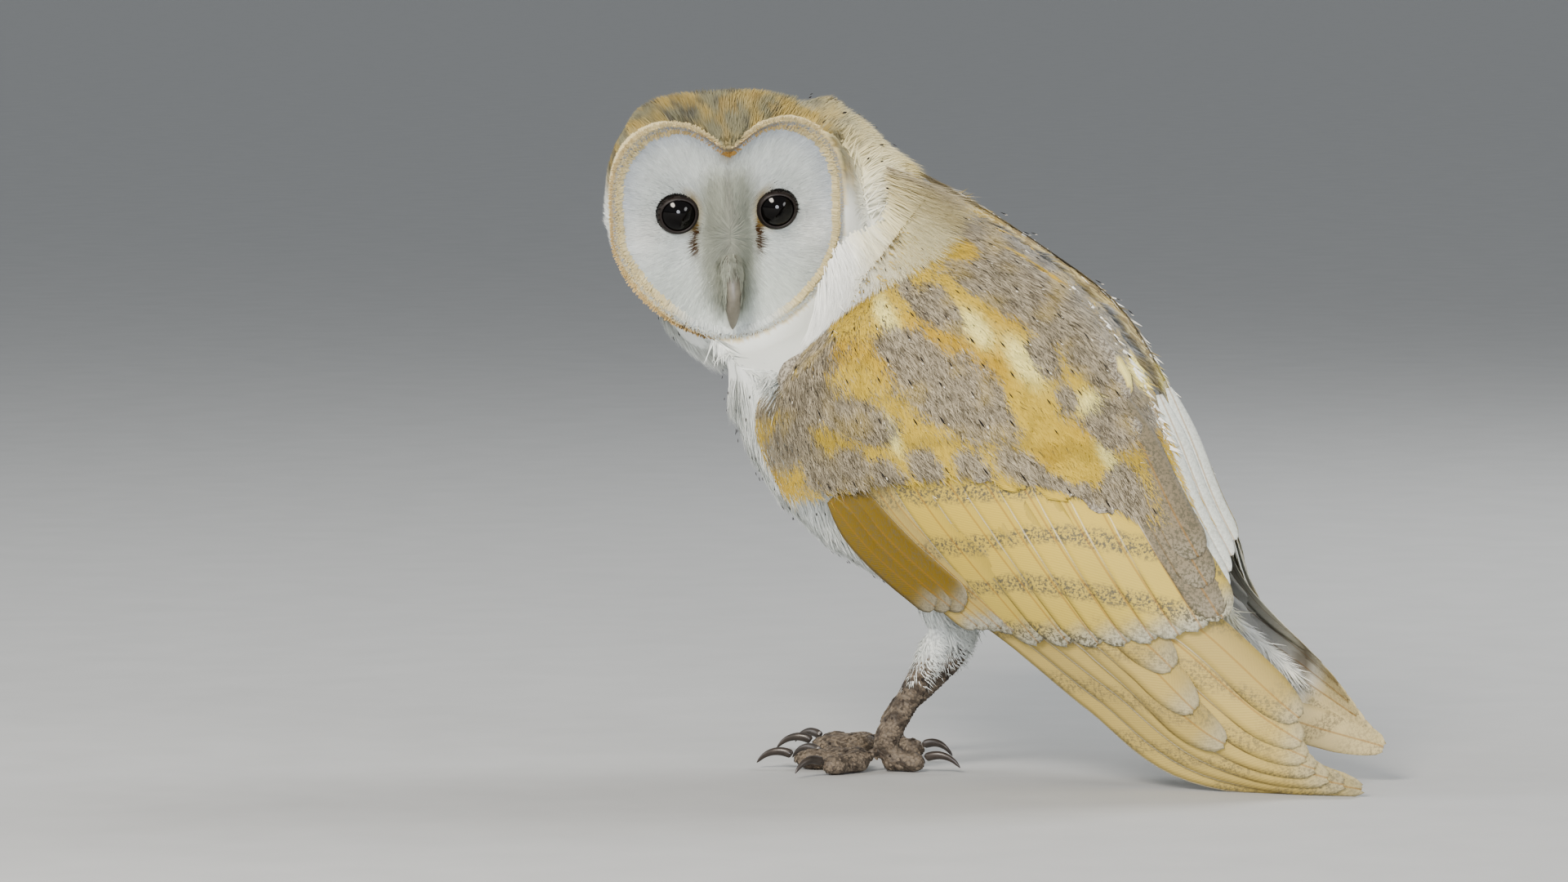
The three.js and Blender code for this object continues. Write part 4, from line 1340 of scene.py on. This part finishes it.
def buildLocks(side):  # neck feathers that close over the shoulder of the wing
    rng = np.random.default_rng(lockForm["seed"])
    count = lockForm["count"]
    t = rng.uniform(0.04, 1.0, count)
    edge = 0.02 + 0.34 * stripe(t, 0.7, 0.24)
    s = edge - rng.uniform(0, 0.55, count) * rng.uniform(0.6, 1, count)
    length = rng.uniform(*lockForm["length"], count)
    root = np.stack([s, t], -1)
    tip = root + np.stack([length / 30, rng.normal(0, 0.02, count)], -1)
    swell = 1.0 * smooth(t, 0.6, 0.95)
    rise = 3.0 + swell + rng.uniform(-0.5, 0.4, count)
    if side == "right":  # its upper edge stays hidden behind the back
        rise = rise * (0.1 + 0.9 * smooth(t, 1.0, 0.8))
    width = lockForm["width"] * rng.uniform(0.6, 1.3, count)
    batch = layOnWing(barbShape(), side, root, tip, width, lockForm["thick"], -1.5, rise, droop=0)
    place = batch["points"][:, 0]
    tint = blend(tones["white"], tones["cream"], smooth(t + 0.08 * grain(place, 6, 2.9), 0.3, 0.75))
    tint = blend(tint, tones["nape"], 0.6 * smooth(t + 0.1 * grain(place, 5, 8.1), 0.72, 0.98))
    tint = blend(tint, tones["greyLight"], 0.7 * smooth(t, 0.92, 1.0))
    tint = shaded(mottled(tint, place), rng, 0.1)
    bake = np.stack([(s + 0.5) / 9, 0.1 + 0.75 * t], -1)
    joined(f"shoulderLocks{side.title()}", [dressed(batch, tint, bake)], bodyDown)


for wingSide in bothSides:
    buildLocks(wingSide)

# flight feathers


# the bars: their pitch along s, where the first lies, and how far they slant over t
flightForm = dict(thick=0.35, droop=0.07, pitch=0.78, first=3.0, slant=2.6, level=0.27, seed=61)


def flightBlades(side):
    rng = np.random.default_rng(flightForm["seed"])
    blade = vaneShape(8, 26, bladeOutline, 0.012, 7, 1.2)
    long = vaneShape(6, 34, bladeOutline, 0.012, 8, 1.2)
    batches = []

    def lay(shape, root, tip, width, lift, tone, speckle, end, barred=1, tipped=0.8, golden=0):
        # root and tip as s and t, lift at both; end: mm of mottling at the tip
        root, tip = (np.stack(place, -1) for place in (root, tip))
        batch = layOnWing(shape, side, root, tip, width, flightForm["thick"], *lift,
                          flightForm["droop"])
        s, t = batch["st"][..., 0], batch["st"][..., 1]
        x, ahead = batch["quill"][..., 0], batch["quill"][..., 2]
        along = s - flightForm["first"] - flightForm["slant"] * (t - flightForm["level"])
        bars = barred * 2 * math.pi * along / flightForm["pitch"]
        inner = (shape["points"][:, 2] < -0.5)[None]
        speckle = speckle * np.where(inner, 0.25 + 0.75 * smooth(s, 6.8, 7.1), 1)
        mark = np.stack(np.broadcast_arrays(bars, speckle, end), -1)
        under = blend(tones["under"], tones["mottle"], 0.85 * stripe(s, 6.95, 0.13))
        under = blend(under, tones["primary"], 0.8 * smooth(s, 7.05, 7.3))
        tint = shaded(np.broadcast_to(tones[tone], (len(root), 3)), rng, 0.06)[:, None]
        tint = blend(tint, tones["gold"], golden * smooth(ahead, 20, 48))
        tint = blend(tint, tones["tipGrey"], tipped * smooth(ahead, 11, 2))
        # painted shade: each blade darker along one side, so it parts from the next
        tint = tint * (1 - 0.2 * smooth(x, 0.1, -0.9))[..., None]
        place = (root + tip) / 2
        bake = aroundWing(place[:, 0] - 0.5, place[:, 1])
        batches.append(dressed(batch, tint, bake, mark, under))

    i = np.arange(8)  # secondaries, outermost first; each lies over the one below it
    lay(blade, (1.95 + 0.29 * i, 0.34 + 0.076 * i),
        (6.12 - 0.8 * (1 - i / 7) ** 1.8, 0.15 + 0.1 * i), width=17,
        lift=(0.2 + 0.16 * i, 0.9 + 0.24 * i), tone="flight", speckle=1.0, end=10.0, golden=0.6)
    i = np.arange(3)  # tertials
    lay(blade, (3.6 - 0.25 * i, 0.84 + 0.03 * i), (6.08 - 0.3 * i, 0.84 + 0.025 * i), width=15,
        lift=(1.4, 2.6 + 0.2 * i), tone="tertial", speckle=1.4, end=60.0, barred=0, tipped=0.2)
    i = np.arange(4)  # white inner vanes, low against the back
    lay(blade, (3.55 - 0.05 * i, 0.95 + 0.03 * i), (5.9 - 0.14 * i, 0.93 + 0.04 * i), width=8,
        lift=(0.2, 0.8 - 0.5 * i), tone="vane", speckle=0.3, end=5.0, barred=0, tipped=0.1)
    # one darker vane along the upper edge
    lay(blade, ([3.4], [1.04]), ([5.45], [1.06]), width=8, lift=(-0.6, -1.8), tone="primary",
        speckle=0.9, end=30.0, barred=0, tipped=0.3)
    i = np.arange(3)  # inner primaries
    lay(long, (3.3 + 0.09 * i, 0.34 - 0.035 * i), (6.25 + 0.4 * i, 0.53 - 0.05 * i), width=16,
        lift=(-0.8 - 0.12 * i, 1.2 - 0.2 * i), tone="primary", speckle=0.5, end=9.0, tipped=0.45)
    i = np.arange(7) / 6  # outer primaries, spread to a blunt end
    spread = 0.75 if side == "left" else 1.5
    lay(long, (3.5 + 0.5 * i, 0.32 - 0.26 * i), (7.2 + 0.9 * i ** 0.8, 0.55 + spread * (0.5 - i)),
        width=16 - 1.5 * i, lift=(-1.2 - 0.8 * i, 0.4 - 1.0 * i), tone="primary", speckle=0.6,
        end=16.0, tipped=0.4)
    i = np.arange(6)  # primary coverts
    lay(blade, (2.0 + 0.12 * i, 0.26 - 0.03 * i), (5.3 - 0.12 * i, 0.16 - 0.025 * i), width=13,
        lift=(-0.5 + 0.1 * i, 0.5 + 0.12 * i), tone="primary", speckle=0.8, end=9.0)
    i = np.arange(3)  # bastard wing
    lay(blade, (2.3 + 0.08 * i, 0.13 - 0.035 * i), (4.4 - 0.16 * i, 0.08 - 0.03 * i), width=15,
        lift=(0.7 + 0.2 * i, 1.5 + 0.2 * i), tone="alula", speckle=0.6, end=12.0, barred=0,
        tipped=0.5)
    piece = joined(f"flightFeathers{side.title()}", batches, flightWeb, False)
    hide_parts(f"secondaries_{side}", f"primaries_{side}")


for wingSide in bothSides:
    flightBlades(wingSide)

rumpDown = dict(count=15000, length=(7, 12), width=1.0, thick=0.14, mound=12, seed=65)


def buildRumpDown():  # loose white down on the inner side of the right wing's base
    rng = np.random.default_rng(rumpDown["seed"])
    count = rumpDown["count"]
    s = rng.uniform(3.6, 6.95, count)
    t = rng.uniform(0.1, 1.08, count)
    keep = rng.random(count) < smooth(s, 6.98, 6.6)
    s, t = s[keep], t[keep]
    count = len(s)
    length = rng.uniform(*rumpDown["length"], count)
    place, outward, _ = wingPoint("right", s, t)
    ahead = unit(wingPoint("right", s + 0.1, t + 0.01)[0] - place)
    bulge = smooth(s, 3.6, 4.8) * smooth(s, 7.0, 5.6) * smooth(t, 0, 0.3) * smooth(t, 1.15, 0.9)
    depth = 4.5 + 4 * smooth(t, 0.7, 0.95) + rumpDown["mound"] * bulge
    root = place - outward * depth[:, None]
    up = unit(-0.55 * outward + np.array([0.1, 0.55, 0.6]))
    along = turned(unit(ahead - up * np.sum(ahead * up, -1, keepdims=True)), up,
                   rng.normal(0, 0.25, count))
    batch = grow(barbShape(), root, along, up, length, rumpDown["width"], rumpDown["thick"],
                 rng.uniform(0.4, 2.0, count), 0.03)
    warm = smooth(grain(batch["points"][:, 0], 9, 3.7), 0, 0.5)
    tint = blend(tones["white"], tones["cream"], 0.5 * warm)
    bake = np.stack([0.5 + s / 18, 0.1 + 0.8 * t], -1)
    joined("rumpDown", [dressed(batch, shaded(tint, rng, 0.08), bake)], bodyDown)


buildRumpDown()

# tail

tailLine = [(86, 84), (108, 66), (130, 44), (151, 20.5), (168, 6.0), (184, 2.2)]  # y and z
tailForm = dict(count=12, length=118.0, halfWidth=6.5, thick=0.35, apart=(1.2, 1.5), step=0.32,
                seed=71)


def buildTail():
    rng = np.random.default_rng(tailForm["seed"])
    shape = vaneShape(6, 22, bladeOutline, 0.03, 9, 1.2)
    x, y, z = shape["points"].T
    j = np.arange(tailForm["count"]) - (tailForm["count"] - 1) / 2
    far = y * (len(tailLine) - 1)
    yz = curve(tailLine, far)
    tangent = unit(curve(tailLine, far + 0.02) - curve(tailLine, far - 0.02))
    lift = -tailForm["step"] * np.abs(j)[:, None] + z * tailForm["thick"] - 0.5
    near, spread = tailForm["apart"]
    aside = j[:, None] * (near + spread * y) + x * tailForm["halfWidth"]
    points = np.stack([aside, yz[:, 0] - tangent[:, 1] * lift, yz[:, 1] + tangent[:, 0] * lift], -1)
    points[..., 2] = np.maximum(points[..., 2], 0.1)
    quill = np.stack(np.broadcast_arrays(x + 0 * lift, x * tailForm["halfWidth"],
                                         (1 - y) * tailForm["length"]), -1)
    tint = shaded(np.broadcast_to(tones["tail"], (len(j), 3)), rng, 0.05)
    mark = np.stack(np.broadcast_arrays(0.25 * quill[..., 2], 1.0, 7.0), -1)
    bake = np.stack([0.5 + j * 0.05, 0.5 + 0 * j], -1)
    batch = dressed(dict(shape=shape, points=points, quill=quill), tint, bake, mark, tones["under"])
    piece = joined("tailFeathers", [batch], flightWeb, False)
    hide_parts("tail")


buildTail()

# eyes

lidForm = dict(reach=6.15, section=[(-0.1, -0.15), (0, 0.3), (0.3, 0.5), (0.7, 0.3), (1.5, -0.9),
                                    (1.5, -1.8), (0.5, -0.9)])
lashes = dict(count=34, length=1.9, width=0.42, thick=0.14, seed=81)


def eyePlace(sign):
    return np.array([sign * eyes["apart"] / 2, eyes["height"], eyes["depth"]])


def meshPiece(name, bm, material, smoothFaces=True):
    bmesh.ops.recalc_face_normals(bm, faces=bm.faces)
    mesh = bpy.data.meshes.new(name)
    bm.to_mesh(mesh)
    bm.free()
    for face in mesh.polygons:
        face.use_smooth = smoothFaces
    return newPiece(name, mesh, material)


def headMatrix(sign):  # from an eye's own axes to the row's metres
    place = Vector(placed(fromHead(eyePlace(sign))))
    turn = Matrix([list(axes[0]), list(axes[1]), list(axes[2])]).transposed().to_4x4()
    return Matrix.Translation(place) @ turn @ Matrix.Scale(0.001, 4)


# wet cornea over a near-black iris and pupil: the gloss is all that is seen
wetEye = cloudedMaterial("wetEye", {
    "Roughness": 0.05, "IOR": 1.38, "Coat Weight": 0.25, "Coat Roughness": 0.02,
    "Specular IOR Level": 0.3}, 400.0, 2.0, "050506", "0F0C0B")
# thin bare lid: dark brown, slightly moist
lidSkin = cloudedMaterial("lidSkin", {"Roughness": 0.5}, 900.0, 3.0, "0B0807", "241913", 0.5)


def buildEyes():
    for sign, side in zip((1, -1), bothSides):
        bm = bmesh.new()
        bmesh.ops.create_uvsphere(bm, u_segments=48, v_segments=32, radius=eyes["radius"])
        for vert in bm.verts:  # the cornea stands a little proud
            off = math.hypot(vert.co.x, vert.co.y)
            if vert.co.z > 0:
                vert.co.z += 0.7 * math.exp(-((off / 5) ** 2))
        bmesh.ops.transform(bm, matrix=headMatrix(sign), verts=bm.verts)
        eye = meshPiece(f"eye{side.title()}", bm, wetEye)
        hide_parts(f"eye_{side}")
        bm = bmesh.new()
        reach = lidForm["reach"]
        level = math.sqrt((eyes["radius"] + 0.15) ** 2 - reach ** 2)
        ring = [bm.verts.new((reach + x, 0, level + z)) for x, z in lidForm["section"]]
        for one, two in zip(ring, ring[1:] + ring[:1]):
            bm.edges.new((one, two))
        bmesh.ops.spin(bm, geom=bm.verts[:] + bm.edges[:], cent=(0, 0, 0), axis=(0, 0, 1),
                       steps=56, angle=2 * math.pi, use_merge=True)
        for vert in bm.verts:
            angle = math.atan2(vert.co.y, vert.co.x * sign)
            upper = max(0.0, math.sin(angle))
            vert.co.y -= 0.7 * upper ** 2
            vert.co.z += 0.5 * upper
        bmesh.ops.transform(bm, matrix=headMatrix(sign), verts=bm.verts)
        meshPiece(f"lid{side.title()}", bm, lidSkin)


def buildLashes():  # short dark bristles over the upper outer lid
    rng = np.random.default_rng(lashes["seed"])
    batches = []
    for sign in (1, -1):
        angle = np.radians(rng.uniform(-15, 118, lashes["count"]))
        flat = np.stack([sign * np.cos(angle), np.sin(angle), 0 * angle], -1)
        reach = lidForm["reach"] + rng.uniform(0.5, 1.1, len(angle))
        root = eyePlace(sign) + flat * reach[:, None] + (0, 0, 7.1)
        along = unit(flat + (0, 0, 0.75) + rng.normal(0, 0.2, flat.shape))
        up = unit(np.array([0, 0, 1.0]) - along * along[:, 2:])
        batch = grow(barbShape(), fromHead(root), along @ axes, up @ axes,
                     lashes["length"] * rng.uniform(0.6, 1.1, len(angle)), lashes["width"],
                     lashes["thick"], 0.1, 0.02, sink=0.1)
        tint = shaded(np.broadcast_to(tones["ink"], (len(angle), 3)), rng, 0.3)
        batches.append(dressed(batch, tint, aroundFace(*root[:, :2].T)))
    joined("lashes", batches, faceDown)


buildEyes()
buildLashes()

# bill and claws


def hornMaterial(name, light, dark, roughness):
    # grown keratin: smooth, slightly waxy, with faint clouds
    return cloudedMaterial(name, {"Roughness": roughness, "IOR": 1.54, "Coat Weight": 0.15,
                                  "Coat Roughness": 0.3}, 350.0, 4.0, dark, light, 0.2)


billHorn = hornMaterial("billHorn", "817D70", "504C43", 0.45)
clawHorn = hornMaterial("clawHorn", "4A423B", "1B1715", 0.35)


def hornPiece(node, name, material):
    bm = bmesh.new()
    bm.from_mesh(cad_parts[node].data)
    bmesh.ops.remove_doubles(bm, verts=bm.verts, dist=1e-6)
    bmesh.ops.join_triangles(bm, faces=bm.faces, angle_face_threshold=0.5,
                             angle_shape_threshold=1.2)
    piece = meshPiece(name, bm, material)
    soften = piece.modifiers.new("soften", "SUBSURF")
    soften.levels = soften.render_levels = 2
    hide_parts(node)


hornPiece("bill_upper", "billUpper", billHorn)
hornPiece("bill_lower", "billLower", billHorn)
for wingSide in bothSides:
    for toe in ("inner", "middle", "outer", "hind"):
        hornPiece(f"claw_{toe}_{wingSide}", f"claw{toe.title()}{wingSide.title()}", clawHorn)

# bristles over the bill, scales and down on the legs

bristles = dict(count=2800, length=4.2, width=0.42, thick=0.12, seed=91)


def buildBristles():  # the bill's root and flanks are hidden by bristles that close over it
    rng = np.random.default_rng(bristles["seed"])
    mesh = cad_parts["bill_upper"].data
    mesh.calc_loop_triangles()
    corners = np.array([[mesh.vertices[i].co for i in tri.vertices] for tri in mesh.loop_triangles])
    a, b, c = (toHead(corners[:, i] * 1000 - shift) for i in range(3))
    face = np.cross(b - a, c - a)
    area = np.linalg.norm(face, axis=1)
    pick = rng.choice(len(area), bristles["count"], p=area / area.sum())
    u, v = rng.random((2, bristles["count"], 1))
    u, v = np.where(u + v > 1, 1 - u, u), np.where(u + v > 1, 1 - v, v)
    root = a[pick] + (b[pick] - a[pick]) * u + (c[pick] - a[pick]) * v
    normal = unit(face[pick])
    keep = (root[:, 1] > -14.5 - 13 * smooth(np.abs(root[:, 0]), 2.3, 3.3)) & (root[:, 2] > 20)
    root, normal = root[keep], normal[keep]
    count = len(root)
    aim = np.stack([-0.18 * root[:, 0] / 3, np.full(count, -1.0), 0.2 + 0 * root[:, 0]], -1)
    aim = aim + rng.normal(0, 0.07, aim.shape)
    along = unit(aim - normal * np.sum(aim * normal, -1, keepdims=True))
    batch = grow(barbShape(), fromHead(root + normal * 0.1), along @ axes, normal @ axes,
                 bristles["length"] * rng.uniform(0.6, 1.1, count), bristles["width"],
                 bristles["thick"], rng.uniform(0.3, 0.8, count), 0.01, sink=0.2)
    tint = blend(faceTint(root[:, 0], root[:, 1]), tones["ridge"], rng.uniform(0, 0.8, count))
    batch = dressed(batch, shaded(tint, rng, 0.1), aroundFace(*root[:, :2].T))
    joined("billBristles", [batch], faceDown)


legCoat = dict(spacing=1.35, size=1.5, thick=0.4, seed=95)
legDown = dict(spacing=0.7, length=4.5, width=0.7, thick=0.12, seed=96)


def buildLegs():
    p, normal, parts, rng = rootsOn(["toe", "tarsus"], legCoat["spacing"], legCoat["seed"])
    keep = (p[:, 2] > 0.8) & (rng.random(len(p)) < smooth(p[:, 2], 46, 36))
    p, normal, parts = p[keep], normal[keep], parts[keep]
    count = len(p)
    along = featherFlow(p, normal, parts)
    size = legCoat["size"] * rng.uniform(0.8, 1.15, count)
    batch = grow(tuftShape([0.5], dropOutline, 4), p, along, normal, size, size * 0.9,
                 legCoat["thick"], 0.05, 0.02, sink=0.15)
    dark = rng.random(count) < 0.2
    tint = shaded(blend(legTint(p), tones["ink"], 0.6 * dark), rng, 0.15)
    joined("legScales", [dressed(batch, tint, aroundBody(p))], bodyDown)
    p, normal, parts, rng = rootsOn(["tarsus"], legDown["spacing"], legDown["seed"])
    keep = rng.random(len(p)) < smooth(p[:, 2], 30, 46)
    p, normal, parts = p[keep], normal[keep], parts[keep]
    count = len(p)
    along = turned(featherFlow(p, normal, parts), normal, rng.normal(0, 0.3, count))
    batch = grow(barbShape(), p, along, normal, legDown["length"] * rng.uniform(0.6, 1.2, count),
                 legDown["width"], legDown["thick"], rng.uniform(0.3, 1.4, count), 0.02)
    tint = shaded(np.broadcast_to(tones["breast"], (count, 3)), rng, 0.08)
    joined("legDown", [dressed(batch, tint, aroundBody(p))], bodyDown)


buildBristles()
buildLegs()
print("eyes, bill and claws are in place")
